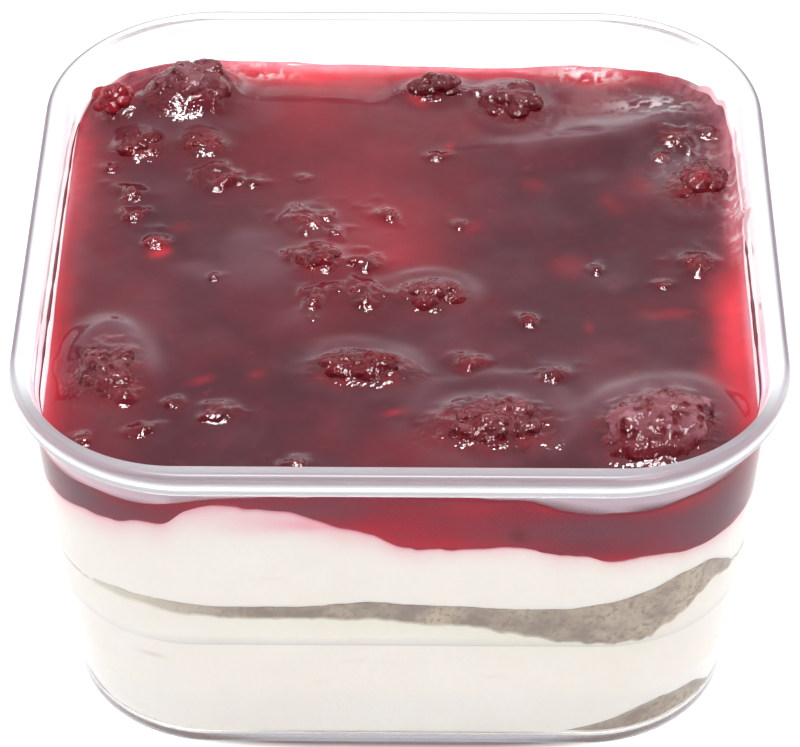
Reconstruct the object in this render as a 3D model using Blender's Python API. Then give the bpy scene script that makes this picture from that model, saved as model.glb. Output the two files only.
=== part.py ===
"""Raspberry tiramisu in its clear square cup.

A clear moulded cup holds, from the floor up, a sponge slab, a deep layer of cream, a second sponge
slab, a thinner layer of cream, and a raspberry jelly topping with whole berries and pieces of berry
set in it. Metres, +Z up, origin at the middle of the cup's underside, front at -Y.
"""

import math

import bmesh
import bpy
import numpy as np
from mathutils import Euler, Matrix, Vector

MM = 0.001

# The cup's driving sizes, in millimetres.
CUP_HEIGHT = 49.0
RIM_HALF_WIDTH = 45.0
WALL = 1.0
FLOOR = 1.2
WALL_CORNER = 17.3
STEP_HEIGHT = 18.8
CLEARANCE = 0.3

# Half widths of the wall's two faces at heights above the base: the foot's rounded edge, the small
# stacking step and the draft between them.
OUTER_WALL = [
    (0.0, 37.8),
    (0.5, 39.0),
    (1.6, 39.6),
    (STEP_HEIGHT - 0.3, 40.75),
    (STEP_HEIGHT + 0.3, 41.15),
    (CUP_HEIGHT - 4.0, 42.6),
]
INNER_WALL = [
    (FLOOR, 36.6),
    (FLOOR + 0.5, 38.0),
    (FLOOR + 1.7, 38.75),
    (STEP_HEIGHT - 0.1, 39.8),
    (STEP_HEIGHT + 0.5, 40.2),
    (CUP_HEIGHT - 4.0, 41.6),
    (CUP_HEIGHT - 1.8, 42.2),
    (CUP_HEIGHT - 0.4, 43.0),
]
WALL_TOP_HALF = OUTER_WALL[-1][1]
RIM_CORNER_GROWTH = 1.79

# The rim's section, from the channel behind its skirt, round the skirt and its bead, to the lip:
# (how far the ring lies inside the rim's full width, how far below the cup's top).
RIM_SECTION = [
    (1.95, 1.6),
    (1.0, 1.6),
    (0.9, 3.1),
    (0.2, 3.2),
    (0.05, 2.6),
    (0.0, 1.6),
    (0.3, 1.2),
    (0.4, 0.3),
    (0.7, 0.0),
    (1.6, 0.0),
]

# Where the layers meet the wall: (bearing in degrees, height in millimetres), with -90 at the
# middle of the front. Between the stations each line is smooth.
LOWER_SPONGE_TOP = [
    (-150, 4.2), (-110, 4.6), (-70, 4.4), (-60, 5.6), (-50, 6.6), (-42, 6.6), (-32, 5.6),
    (-10, 4.6), (60, 5.0), (130, 4.6),
]
MIDDLE_SPONGE_BOTTOM = [
    (-150, 23.6), (-137, 23.9), (-128, 24.2), (-120, 23.3), (-112, 22.9), (-97, 22.7),
    (-90, 22.4), (-79, 21.8), (-74, 20.8), (-67, 19.5), (-60, 18.8), (-56, 19.0),
    (-52, 20.5), (-46, 23.6), (-40, 23.8), (-32, 22.6),
    (0, 21.0), (45, 20.2), (90, 21.0), (135, 20.4), (180, 21.6),
]
MIDDLE_SPONGE_TOP = [
    (-150, 25.0), (-137, 25.3), (-128, 25.9), (-117, 25.1), (-109, 24.9), (-94, 25.9),
    (-81, 25.3), (-70, 24.8), (-63, 25.2), (-54, 27.7), (-48, 28.8), (-40, 26.8), (-32, 25.8),
    (0, 25.6), (45, 25.0), (90, 26.0), (135, 24.8), (180, 25.2),
]
CREAM_TOP = [
    (-145, 35.6), (-133, 37.5), (-123, 38.9), (-117, 41.3), (-110, 41.1), (-102, 39.4),
    (-94, 37.3), (-88, 34.9), (-78, 35.0), (-67, 34.4), (-60, 33.2), (-50, 33.1), (-38, 32.9),
    (0, 34.5), (45, 35.0), (90, 36.4), (135, 35.6), (180, 35.8),
]
JELLY_TOP = [
    (-150, 41.0), (-138, 40.8), (-125, 41.2), (-116, 42.4), (-98, 42.9), (-80, 42.8),
    (-70, 42.0), (-61, 40.4), (-52, 41.2), (-42, 41.9), (-30, 42.1),
    (0, 42.3), (30, 41.8), (70, 41.9), (90, 42.0), (130, 42.5), (180, 42.4),
]

# Heights of the same faces in the middle of the cup, and the swells in them:
# (x, y, rise, spread).
LOWER_SPONGE_LEVEL = 5.6
MIDDLE_SPONGE_LEVEL = 20.4
MIDDLE_SPONGE_TOP_LEVEL = 26.0
CREAM_LEVEL = 35.4
JELLY_LEVEL = 42.6
SLAB_SWELLS = [(-14, 12, 0.7, 12), (16, -8, -0.6, 11), (8, 24, 0.6, 9)]
CREAM_SWELLS = [(3, 6, 1.8, 9), (-22, -12, -1.2, 11), (20, 10, -1.0, 12), (-10, 26, 0.9, 8)]
JELLY_SWELLS = [
    (-28, 32, 1.9, 7.0), (30, -29, 1.3, 8.5), (10.5, -29, 0.5, 9.0), (-34, -19, 0.5, 6.0),
    (-5, -2, 0.5, 7.0), (37, 15, 0.5, 5.0), (26, 26.5, 0.9, 3.2), (33, 29, 0.9, 3.2),
    (19, 25.5, 0.6, 2.8), (24, 35, -0.7, 5.0), (-14, 20, -0.3, 8.0), (16, 6, -0.3, 9.0),
]
EDGE_SHARPNESS = 5

# The lower slab is cut smaller than the cup and reaches the wall only in the front right corner:
# its margin to the wall there and elsewhere, and the bearing and width of that reach.
SLAB_MARGIN_NEAR = 0.3
SLAB_MARGIN_FAR = 4.2
SLAB_REACH_BEARING = -47.0
SLAB_REACH_SPREAD = 17.0
SLAB_COVERED_FROM = 1.15
SLAB_COVERED_TO = 1.9
SLAB_SKIRT_LEAST = 0.6
SLAB_EDGE = 0.5
CRUMB_RELIEF = 0.22

# Steps round each corner and along each side of the contents' outlines, and the shares of the way
# out at which the rings of each shared face lie.
CONTENT_STEPS = (7, 8)
SLAB_SHARES = (0.3, 0.65, 1.0)
CREAM_SHARES = (0.3, 0.6, 0.85, 1.0)
TOP_SHARES = (0.15, 0.33, 0.5, 0.67, 0.82, 0.94, 1.0)

# Berries: name, place (x, y), height of the middle, half sizes (along, across, up), turn in
# degrees, drupelets, and the mesh's steps round and up.
BERRIES = [
    ("berry_back_left", (-27.4, 33.4), 43.6, (5.8, 5.0, 4.6), 20, 40, (20, 12)),
    ("berry_corner", (-36.3, 31.8), 43.2, (2.5, 2.9, 2.5), 70, 16, (12, 8)),
    ("berry_left_of_mound", (-33.4, 23.2), 42.6, (3.1, 2.9, 2.3), 10, 18, (12, 8)),
    ("berry_right_of_mound", (-25.4, 23.6), 42.5, (2.9, 2.6, 2.2), -30, 16, (12, 8)),
    ("berry_back_wall", (4.1, 36.6), 42.3, (4.1, 2.7, 2.3), 5, 20, (14, 8)),
    ("berry_back", (13.9, 33.2), 42.3, (4.0, 4.3, 2.6), 40, 24, (14, 10)),
    ("berry_right_back", (36.9, 16.3), 42.1, (3.7, 4.6, 2.9), -25, 24, (14, 10)),
    ("berry_middle", (-10.0, 0.6), 42.4, (2.8, 3.0, 2.2), 15, 16, (12, 8)),
    ("berry_middle_right", (3.5, -6.2), 42.3, (4.5, 3.2, 2.4), 12, 22, (14, 8)),
    ("berry_middle_front", (-4.3, -19.6), 42.1, (6.2, 3.2, 2.7), -6, 28, (18, 10)),
    ("berry_left", (-34.0, -19.2), 41.6, (4.0, 6.2, 2.7), 8, 30, (16, 10)),
    ("berry_front", (10.6, -29.4), 41.6, (7.4, 4.7, 3.9), 4, 44, (22, 12)),
    ("berry_front_right", (29.6, -29.6), 41.6, (7.4, 5.8, 4.6), 28, 46, (22, 12)),
]
DRUPELET_RELIEF = 0.17
SOCKET_MARGIN = 0.5
SOCKET_STEPS = (12, 8)

# Pieces of crushed berry fused to the jelly: place (x, y), width, turn in degrees, drupelets.
SCRAPS = [
    ((-23.2, 17.0), 5.4, 10, 3), ((-33.6, 13.6), 4.2, -20, 2), ((-33.2, 9.2), 3.4, 25, 2),
    ((-29.7, 3.6), 3.6, 60, 2), ((-11.8, 8.6), 4.8, 15, 3), ((-2.2, 9.6), 3.8, -30, 2),
    ((-4.2, -0.2), 3.9, -10, 2), ((-10.5, -7.4), 4.6, 70, 3), ((-4.4, -7.0), 4.4, 80, 2),
    ((8.2, -18.4), 3.7, 0, 2), ((17.6, -20.6), 4.2, 10, 2), ((35.9, 0.6), 4.3, -15, 2),
    ((-21.2, -27.6), 4.8, 12, 3), ((-29.6, -29.4), 3.6, 15, 2), ((-11.6, -36.0), 3.3, 5, 2),
    ((34.2, 25.0), 4.6, -25, 3), ((4.3, 21.6), 2.2, 0, 1), ((15.2, -10.4), 2.8, -30, 2),
]
SCRAP_STANDING = 0.45
SCRAP_STEPS = (7, 4)

COLOURS = {
    "cup": ((0.93, 0.95, 0.96, 1.0), 0.04),
    "sponge": ((0.42, 0.33, 0.22, 1.0), 0.9),
    "cream": ((0.92, 0.86, 0.78, 1.0), 0.45),
    "jelly": ((0.19, 0.012, 0.022, 1.0), 0.15),
    "berry": ((0.27, 0.008, 0.016, 1.0), 0.2),
}


def clear_scene():
    """Removes what the scene already holds."""
    for thing in list(bpy.data.objects):
        bpy.data.objects.remove(thing)


def material(name):
    """A Principled material with the named colour and roughness, made once."""
    made = bpy.data.materials.get(name)
    if made:
        return made
    colour, roughness = COLOURS[name]
    made = bpy.data.materials.new(name)
    made.use_nodes = True
    shader = made.node_tree.nodes["Principled BSDF"]
    shader.inputs["Base Color"].default_value = colour
    shader.inputs["Roughness"].default_value = roughness
    shader.inputs["Metallic"].default_value = 0.0
    if name == "cup":
        shader.inputs["Transmission Weight"].default_value = 1.0
        shader.inputs["IOR"].default_value = 1.5
    return made


def collection(name):
    """The named collection, linked to the scene."""
    made = bpy.data.collections.get(name)
    if not made:
        made = bpy.data.collections.new(name)
        bpy.context.scene.collection.children.link(made)
    return made


def add_object(name, mesh, finish, group="raspberry_tiramisu"):
    """A named object in a collection, from a mesh, with one material."""
    made = bpy.data.objects.new(name, mesh)
    collection(group).objects.link(made)
    mesh.materials.append(material(finish))
    mesh.shade_smooth()
    mesh.set_sharp_from_angle(angle=math.radians(38))
    return made


def square_points(half, radius, arc_steps, side_steps):
    """Points round a square with rounded corners, anticlockwise from the right side's middle.

    half and radius may be numbers, or arrays with one value for each point. A corner is a quarter
    circle about the corner's centre, and a side is a straight run between two corners.
    """
    spots = []
    for quarter in range(4):
        for step in range(side_steps):
            spots.append((quarter, (step / side_steps - 0.5) * 2.0, None))
        for step in range(arc_steps):
            spots.append((quarter, 1.0, (step / arc_steps) * math.pi / 2))
    half = np.broadcast_to(half, (len(spots),))
    radius = np.broadcast_to(radius, (len(spots),))
    points = np.empty((len(spots), 2))
    for index, (quarter, along, turn) in enumerate(spots):
        straight = half[index] - radius[index]
        if turn is None:
            x, y = half[index], straight * along
        else:
            x = straight + radius[index] * math.cos(turn)
            y = straight + radius[index] * math.sin(turn)
        for _ in range(quarter):
            x, y = -y, x
        points[index] = x, y
    return points


def bearings(points):
    """Bearing of each point from the cup's axis, in degrees from -180 to 180."""
    return np.degrees(np.arctan2(points[:, 1], points[:, 0]))


def round_the_wall(stations, where):
    """Smooth closed line through (bearing, height) stations, read at bearings, by cubic pieces.

    Each piece runs between two stations with slopes taken from their neighbours, and a slope is
    nought at a station that is higher or lower than both, so that the line never overshoots.
    """
    knots = np.array(sorted(stations), float)
    knots = np.vstack([knots[-2:] - [360, 0], knots, knots[:2] + [360, 0]])
    angle, height = knots[:, 0], knots[:, 1]
    rise = np.diff(height) / np.diff(angle)
    slope = np.zeros(len(angle))
    before, after = rise[:-1], rise[1:]
    same_way = before * after > 0
    slope[1:-1][same_way] = 2 * before[same_way] * after[same_way] / (before + after)[same_way]
    left = np.clip(np.searchsorted(angle, where, side="right") - 1, 0, len(angle) - 2)
    span = angle[left + 1] - angle[left]
    share = (where - angle[left]) / span
    return (
        height[left] * (1 + 2 * share) * (1 - share) ** 2
        + slope[left] * span * share * (1 - share) ** 2
        + height[left + 1] * share**2 * (3 - 2 * share)
        + slope[left + 1] * span * share**2 * (share - 1)
    )


def wall_half(profile, height):
    """Half width of a wall's face at a height."""
    levels, halves = zip(*profile)
    return np.interp(height, levels, halves)


def corner_radius(half):
    """Corner radius of the inner wall: concentric with the outer wall's, and tighter at the foot."""
    return WALL_CORNER - WALL + np.minimum(0.0, half - 38.75)


def swelling(points, swells):
    """Sum of round swells, each falling off as a bell curve."""
    total = np.zeros(len(points))
    for x, y, rise, spread in swells:
        apart = (points[:, 0] - x) ** 2 + (points[:, 1] - y) ** 2
        total += rise * np.exp(-apart / (2 * spread**2))
    return total


def face_height(points, share, stations, level, swells):
    """Height of a layer's face: its level and swells inside, drawn to the stations at the wall."""
    at_wall = round_the_wall(stations, bearings(points))
    inside = level + swelling(points, swells)
    pull = share**EDGE_SHARPNESS
    return inside * (1 - pull) + at_wall * pull


def ring(height, share, steps, margin=CLEARANCE):
    """A ring at a height, at a share of the way from the axis to the inner wall, less a margin."""
    half = wall_half(INNER_WALL, height) - margin
    points = square_points(half, corner_radius(half), *steps) * share
    return np.column_stack([points, np.broadcast_to(height, len(points))])


def face_rings(shares, steps, stations, level, swells, lift, margin=CLEARANCE):
    """Rings of a layer's face from the axis out, lifted by a little to stay clear of the next."""
    rings = []
    for share in shares:
        flat = ring(level, share, steps, margin)
        height = face_height(flat[:, :2], share, stations, level, swells) + lift
        rings.append(ring(height, share, steps, margin))
    return rings


def lofted(name, rings, finish, group="raspberry_tiramisu"):
    """A closed solid through rings of equal count, closed at both ends by a fan to its middle.

    Each four-sided patch is split along its lower diagonal, so that facing layers are split alike.
    """
    mesh = bpy.data.meshes.new(name)
    shape = bmesh.new()
    loops = [[shape.verts.new(Vector(p) * MM) for p in points] for points in rings]
    for lower, upper in zip(loops, loops[1:]):
        for index, vertex in enumerate(lower):
            following = (index + 1) % len(lower)
            patch = (vertex, lower[following], upper[following], upper[index])
            if patch[0].co.z + patch[2].co.z > patch[1].co.z + patch[3].co.z:
                patch = patch[1:] + patch[:1]
            shape.faces.new(patch[:3])
            shape.faces.new((patch[2], patch[3], patch[0]))
    for points, loop, turned in ((rings[0], loops[0], True), (rings[-1], loops[-1], False)):
        middle = shape.verts.new(Vector(np.mean(points, axis=0)) * MM)
        for index, vertex in enumerate(loop):
            pair = (loop[(index + 1) % len(loop)], vertex)
            shape.faces.new((middle, *(pair if turned else pair[::-1])))
    bmesh.ops.recalc_face_normals(shape, faces=shape.faces)
    shape.to_mesh(mesh)
    shape.free()
    return add_object(name, mesh, finish, group)


def make_cup():
    """The clear cup: foot, wall with its stacking step, channelled rim with a beaded skirt."""
    steps = (8, 1)

    def section(half, radius, height):
        points = square_points(half, radius, *steps)
        return np.column_stack([points, np.full(len(points), height)])

    rings = []
    for height, half in OUTER_WALL:
        rings.append(section(half, WALL_CORNER + min(0.0, half - 39.6), height))
    for inset, drop in RIM_SECTION:
        half = RIM_HALF_WIDTH - inset
        radius = WALL_CORNER + RIM_CORNER_GROWTH * (half - WALL_TOP_HALF)
        rings.append(section(half, radius, CUP_HEIGHT - drop))
    for height, half in reversed(INNER_WALL):
        radius = corner_radius(half)
        if height > CUP_HEIGHT - 4.0:
            radius += RIM_CORNER_GROWTH * 0.5 * (half - 41.6)
        rings.append(section(half, radius, height))
    return lofted("cup", rings, "cup")


def slab_margin(points):
    """How far the lower slab's edge stays from the wall, by bearing."""
    off = (bearings(points) - SLAB_REACH_BEARING + 180) % 360 - 180
    reach = np.exp(-((off / SLAB_REACH_SPREAD) ** 4))
    return SLAB_MARGIN_NEAR + (SLAB_MARGIN_FAR - SLAB_MARGIN_NEAR) * (1 - reach)


def crumb(points, seed):
    """Small uneven relief of a torn sponge edge, from crossed waves of unlike lengths."""
    x, y = points[:, 0], points[:, 1]
    waves = np.sin(1.7 * x + seed) * np.cos(1.3 * y - seed) + 0.6 * np.sin(2.9 * x - 2.3 * y + seed)
    return CRUMB_RELIEF * waves / 1.6


def make_lower_sponge():
    """The slab on the floor: smaller than the cup, pushed into the front right corner."""
    steps = CONTENT_STEPS
    base = FLOOR + CLEARANCE
    flat = ring(base, 1.0, steps)
    margin = slab_margin(flat[:, :2])
    top = face_height(flat[:, :2], 1.0, LOWER_SPONGE_TOP, LOWER_SPONGE_LEVEL, [])
    rings = [ring(base, 0.8, steps, margin)]
    foot = ring(np.full(len(flat), base), 1.0, steps, margin + 0.05)
    shoulder = ring(base + (top - base) * 0.85, 1.0, steps, margin + 0.1)
    for share in (0.0, 0.5, 1.0):
        edge = foot + (shoulder - foot) * share
        edge[:, :2] *= 1 + np.minimum(0.0, crumb(edge, share * 9))[:, None] / 38
        rings.append(edge)
    rings.append(ring(top, 1.0, steps, margin + SLAB_EDGE))
    for share in (0.7, 0.35):
        rings.append(face_rings([share], steps, LOWER_SPONGE_TOP, LOWER_SPONGE_LEVEL, [], 0.0)[0])
    return lofted("sponge_lower", rings, "sponge")


def make_lower_cream():
    """The deep cream: over the lower slab, round its edge down to the floor, up to the next slab."""
    steps = CONTENT_STEPS
    base = FLOOR + CLEARANCE
    flat = ring(base, 1.0, steps)
    margin = slab_margin(flat[:, :2])
    slab_top = face_height(flat[:, :2], 1.0, LOWER_SPONGE_TOP, LOWER_SPONGE_LEVEL, []) + CLEARANCE
    covered = np.clip((margin - SLAB_COVERED_FROM) / (SLAB_COVERED_TO - SLAB_COVERED_FROM), 0, 1)
    skirt_foot = slab_top + (base - slab_top) * covered
    skirt = np.maximum(margin - CLEARANCE, SLAB_SKIRT_LEAST)
    rings = face_rings(
        (0.35, 0.7), steps, LOWER_SPONGE_TOP, LOWER_SPONGE_LEVEL, [], CLEARANCE
    )
    rings.append(ring(slab_top, 1.0, steps, margin + SLAB_EDGE))
    rings.append(ring(slab_top, 1.0, steps, skirt + 0.05))
    rings.append(ring(skirt_foot, 1.0, steps, skirt))
    rings.append(ring(skirt_foot, 1.0, steps))
    surface = (MIDDLE_SPONGE_BOTTOM, MIDDLE_SPONGE_LEVEL, SLAB_SWELLS)
    over = face_rings(SLAB_SHARES[::-1], steps, *surface, -CLEARANCE / 2)
    for height in (STEP_HEIGHT * 0.5, STEP_HEIGHT - 0.5):
        rings.append(ring(np.minimum(height, over[0][:, 2] - 0.15), 1.0, steps))
    return lofted("cream_lower", rings + over, "cream")


def make_middle_sponge():
    """The slab between the creams, thin at the front left and thick at the front right."""
    steps = CONTENT_STEPS
    under = (MIDDLE_SPONGE_BOTTOM, MIDDLE_SPONGE_LEVEL, SLAB_SWELLS)
    over = (MIDDLE_SPONGE_TOP, MIDDLE_SPONGE_TOP_LEVEL, SLAB_SWELLS)
    rings = face_rings(SLAB_SHARES, steps, *under, CLEARANCE / 2)
    top = face_rings(SLAB_SHARES[::-1], steps, *over, -CLEARANCE / 2)
    foot = rings[-1]
    for share in (0.35, 0.7):
        height = foot[:, 2] + (top[0][:, 2] - foot[:, 2]) * share
        edge = ring(height, 1.0, steps)
        edge[:, :2] *= 1 + np.minimum(0.0, crumb(edge, share * 7))[:, None] / 41
        rings.append(edge)
    return lofted("sponge_middle", rings + top, "sponge")


def make_upper_cream():
    """The cream under the topping, with the hump that shows at the front left."""
    steps = CONTENT_STEPS
    under = (MIDDLE_SPONGE_TOP, MIDDLE_SPONGE_TOP_LEVEL, SLAB_SWELLS)
    over = (CREAM_TOP, CREAM_LEVEL, CREAM_SWELLS)
    rings = face_rings(SLAB_SHARES, steps, *under, CLEARANCE / 2)
    rings += face_rings(CREAM_SHARES[::-1], steps, *over, -CLEARANCE / 2)
    return lofted("cream_upper", rings, "cream")


def spread_directions(count, seed):
    """Unit directions spread evenly over a sphere by the golden angle, each nudged a little."""
    draw = np.random.default_rng(seed)
    index = np.arange(count) + 0.5
    up = 1 - 2 * index / count
    turn = math.pi * (1 + math.sqrt(5)) * index
    flat = np.sqrt(1 - up**2)
    found = np.column_stack([flat * np.cos(turn), flat * np.sin(turn), up])
    found += draw.normal(0, 0.05, found.shape)
    return found / np.linalg.norm(found, axis=1)[:, None]


def place(shape, spot, half_sizes, turn):
    """Stretches a unit ball to its half sizes, turns it about Z and moves it to its place."""
    stretch = Matrix.Diagonal((*half_sizes, 1.0))
    turned = Euler((0, 0, math.radians(turn))).to_matrix().to_4x4()
    matrix = Matrix.Translation(Vector(spot) * MM) @ turned @ stretch @ Matrix.Scale(MM, 4)
    bmesh.ops.transform(shape, matrix=matrix, verts=shape.verts)


def drupelet_ball(count, steps, seed):
    """A unit ball with round drupelets: each point lies out by how near the nearest drupelet is."""
    shape = bmesh.new()
    bmesh.ops.create_uvsphere(shape, u_segments=steps[0], v_segments=steps[1], radius=1.0)
    middles = spread_directions(count, seed)
    reach = 2.3 / math.sqrt(count)
    for vertex in shape.verts:
        direction = np.array(vertex.co.normalized())
        nearest = np.sqrt(np.maximum(0.0, 2 - 2 * (middles @ direction))).min()
        dome = math.sqrt(max(0.0, 1 - (nearest / reach) ** 2))
        vertex.co = Vector(direction) * (1 - DRUPELET_RELIEF * (1 - dome))
    return shape


def make_berry(name, spot, middle, half_sizes, turn, drupelets, steps):
    """One raspberry, its upper part standing out of the jelly."""
    seed = 11 + [row[0] for row in BERRIES].index(name)
    shape = drupelet_ball(drupelets, steps, seed)
    place(shape, (*spot, middle), half_sizes, turn)
    mesh = bpy.data.meshes.new(name)
    shape.to_mesh(mesh)
    shape.free()
    return add_object(name, mesh, "berry")


def make_socket(spot, middle, half_sizes, turn):
    """The hollow that the jelly leaves for a berry: a smooth ball, a little larger all round."""
    shape = bmesh.new()
    bmesh.ops.create_uvsphere(
        shape, u_segments=SOCKET_STEPS[0], v_segments=SOCKET_STEPS[1], radius=1.0
    )
    place(shape, (*spot, middle), [half + SOCKET_MARGIN for half in half_sizes], turn)
    mesh = bpy.data.meshes.new("socket")
    shape.to_mesh(mesh)
    shape.free()
    return add_object("socket", mesh, "jelly", "sockets")


def jelly_height(x, y):
    """Height of the jelly's top face at a place."""
    point = np.array([[x, y]])
    flat = wall_half(INNER_WALL, JELLY_LEVEL) - CLEARANCE
    share = min(1.0, max(abs(x), abs(y)) / flat)
    return float(face_height(point, share, JELLY_TOP, JELLY_LEVEL, JELLY_SWELLS)[0])


def make_scraps():
    """The pieces of crushed berry: short rows of drupelets, in a collection for the union."""
    for (x, y), width, turn, count in SCRAPS:
        level = jelly_height(x, y)
        radius = width / (count + 1)
        along = math.radians(turn)
        for index in range(count):
            offset = (index - (count - 1) / 2) * radius
            sway = 0.35 * radius * (-1) ** index
            centre = Vector((
                x + offset * math.cos(along) - sway * math.sin(along),
                y + offset * math.sin(along) + sway * math.cos(along),
                level - radius * (1 - SCRAP_STANDING) + 0.12 * index,
            ))
            shape = bmesh.new()
            bmesh.ops.create_uvsphere(
                shape, u_segments=SCRAP_STEPS[0], v_segments=SCRAP_STEPS[1], radius=1.0
            )
            place(shape, centre, (radius, radius * 0.95, radius * 0.9), turn + 37 * index)
            mesh = bpy.data.meshes.new("scrap")
            shape.to_mesh(mesh)
            shape.free()
            add_object("scrap", mesh, "jelly", "scraps")


def apply_boolean(target, group, operation):
    """Cuts a collection's solids from the target or joins them to it, then removes them."""
    cutter = target.modifiers.new(operation.lower(), "BOOLEAN")
    cutter.operand_type = "COLLECTION"
    cutter.collection = collection(group)
    cutter.operation = operation
    cutter.solver = "EXACT"
    bpy.context.view_layer.update()
    graph = bpy.context.evaluated_depsgraph_get()
    mesh = bpy.data.meshes.new_from_object(target.evaluated_get(graph))
    target.modifiers.clear()
    target.data = mesh
    for thing in list(collection(group).objects):
        bpy.data.objects.remove(thing)
    bpy.data.collections.remove(collection(group))


def make_jelly():
    """The topping: jelly up to its level, hollowed round the berries, with the scraps fused on."""
    steps = CONTENT_STEPS
    under = (CREAM_TOP, CREAM_LEVEL, CREAM_SWELLS)
    over = (JELLY_TOP, JELLY_LEVEL, JELLY_SWELLS)
    rings = face_rings(CREAM_SHARES, steps, *under, CLEARANCE / 2)
    rings += face_rings(TOP_SHARES[::-1], steps, *over, 0.0)
    jelly = lofted("jelly", rings, "jelly")
    for _, spot, middle, half_sizes, turn, _, _ in BERRIES:
        make_socket(spot, middle, half_sizes, turn)
    apply_boolean(jelly, "sockets", "DIFFERENCE")
    make_scraps()
    apply_boolean(jelly, "scraps", "UNION")
    return jelly


def main():
    clear_scene()
    make_cup()
    make_lower_sponge()
    make_lower_cream()
    make_middle_sponge()
    make_upper_cream()
    make_jelly()
    for berry in BERRIES:
        make_berry(*berry)


main()
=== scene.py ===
"""Raspberry tiramisu in its clear square cup: the finish of every surface.

Sizes are in millimetres until a mesh is written, and then in metres. The cup stands on Z = 0 with
its middle on the Z axis, and its front faces -Y.
"""
import math

import bpy
import numpy as np
from mathutils import Euler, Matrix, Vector


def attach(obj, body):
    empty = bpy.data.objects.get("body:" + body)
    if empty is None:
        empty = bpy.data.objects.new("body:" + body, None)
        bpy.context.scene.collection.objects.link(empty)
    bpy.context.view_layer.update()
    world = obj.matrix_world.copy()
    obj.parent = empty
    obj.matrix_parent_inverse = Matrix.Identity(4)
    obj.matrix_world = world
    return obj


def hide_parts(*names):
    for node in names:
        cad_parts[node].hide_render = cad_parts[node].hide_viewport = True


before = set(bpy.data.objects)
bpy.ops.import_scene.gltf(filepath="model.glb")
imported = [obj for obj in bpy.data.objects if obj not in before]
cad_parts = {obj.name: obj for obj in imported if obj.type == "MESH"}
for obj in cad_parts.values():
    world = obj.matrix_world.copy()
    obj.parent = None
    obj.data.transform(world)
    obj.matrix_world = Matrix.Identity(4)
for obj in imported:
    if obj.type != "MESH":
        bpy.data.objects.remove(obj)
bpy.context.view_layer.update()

MM = 0.001
SEED = 20

# The cup's sizes. The rounded corners are tighter below the half widths of the foot's turn and
# wider above those of the rim's turn, each given for the outside and the inside. The rim turns
# down outside the wall as far as its foot.
WALL_CORNER = 17.3
INNER_CORNER = 16.3
FOOT_TURN = (39.6, 38.75)
RIM_TURN = (42.6, 41.6)
RIM_CORNER_GROWTH = 1.79
RIM_FOOT = 45.6
FLOOR = 1.2
STEP_HEIGHT = 18.8

# The inner wall: (height, half width).
INNER_WALL = [(FLOOR, 36.6), (1.7, 38.0), (2.9, 38.75), (18.7, 39.8), (19.3, 40.2), (45.0, 41.6)]

# The cup's section, from the foot up the outside, round the rim and down the inside:
# (half width, height, radius of the rounded corner there).
CUP_SECTION = [
    (37.4, 0.0, 0.6), (39.5, 0.45, 1.6), (40.72, STEP_HEIGHT - 0.3, 0.15),
    (41.12, STEP_HEIGHT + 0.25, 0.25), (42.6, 45.0, 0.4), (43.0, 47.4, 0.25), (44.0, 47.4, 0.2),
    (44.1, 45.85, 0.12), (44.85, 45.85, 0.3), (44.87, 46.75, 0.1), (45.0, 47.0, 0.12),
    (45.0, 47.55, 0.12), (44.8, 47.85, 0.1), (44.75, 48.99, 0.4), (43.1, 48.99, 0.35),
    (42.25, 47.3, 0.8), (41.6, 45.0, 0.6), (40.2, STEP_HEIGHT + 0.5, 0.3),
    (39.8, STEP_HEIGHT - 0.1, 0.3), (38.85, FLOOR + 0.02, 1.8), (35.6, FLOOR, 0.5),
]

# Points along each side of a rounded square and round each of its corners.
CUP_STEPS = (10, 40)
LAYER_STEPS = (72, 72)

# How far each filling reaches into the wall. Where two meet, the deeper one shows.
CREAM_REACH = 0.12
SPONGE_REACH = 0.2
JELLY_REACH = 0.26

# Where the layers meet the wall: (bearing in degrees, height), with -90 at the middle of the front.
WEDGE_TOP = [
    (-150, 1.5), (-67, 1.3), (-63.2, 2.4), (-59, 3.8), (-54.6, 5.4), (-50, 6.5), (-44, 5.9),
    (-40, 3.6), (-36.6, 1.3), (60, 1.5),
]
MIDDLE_SPONGE_BOTTOM = [
    (-150, 24.0), (-137, 24.4), (-128, 24.6), (-120, 23.4), (-112, 22.9), (-105, 22.9),
    (-97, 22.7), (-94, 22.9), (-90, 22.4), (-86, 22.0), (-79, 21.8), (-74, 20.8), (-69, 19.9),
    (-64, 19.0), (-60, 18.8), (-56, 18.9), (-52, 20.5), (-48, 22.8), (-44, 25.1), (-41, 24.2),
    (-38.5, 24.4), (-35, 23.0), (-28, 22.0), (0, 21.0), (45, 20.2), (90, 21.0), (135, 20.4), (180, 21.6),
]
MIDDLE_SPONGE_TOP = [
    (-150, 24.4), (-137, 24.9), (-130, 25.9), (-124, 25.8), (-117, 25.0), (-109, 24.9),
    (-101, 25.4), (-94, 25.9), (-90, 25.6), (-81, 25.3), (-74, 24.9), (-66, 24.8), (-60, 25.8),
    (-54, 27.7), (-50, 28.9), (-46, 29.0), (-42, 26.9), (-38.5, 24.6), (-35, 25.2), (-28, 26.0),
    (0, 25.6), (45, 25.0), (90, 26.0), (135, 24.8), (180, 25.2),
]
CREAM_TOP = [
    (-145, 35.6), (-139, 36.3), (-133, 37.6), (-129, 37.9), (-126, 38.8), (-123, 38.8),
    (-120, 41.1), (-117, 41.9), (-114, 41.7), (-110, 41.3), (-106, 40.9), (-102, 39.4),
    (-98, 38.1), (-94, 37.3), (-90, 35.5), (-87, 34.8), (-78, 35.0), (-73, 35.4), (-67, 34.4),
    (-62, 33.7), (-60, 33.0), (-55, 33.6), (-50, 33.1), (-45, 32.8), (-38, 32.9),
    (0, 34.5), (45, 35.0), (90, 36.4), (135, 35.6), (180, 35.8),
]
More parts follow.
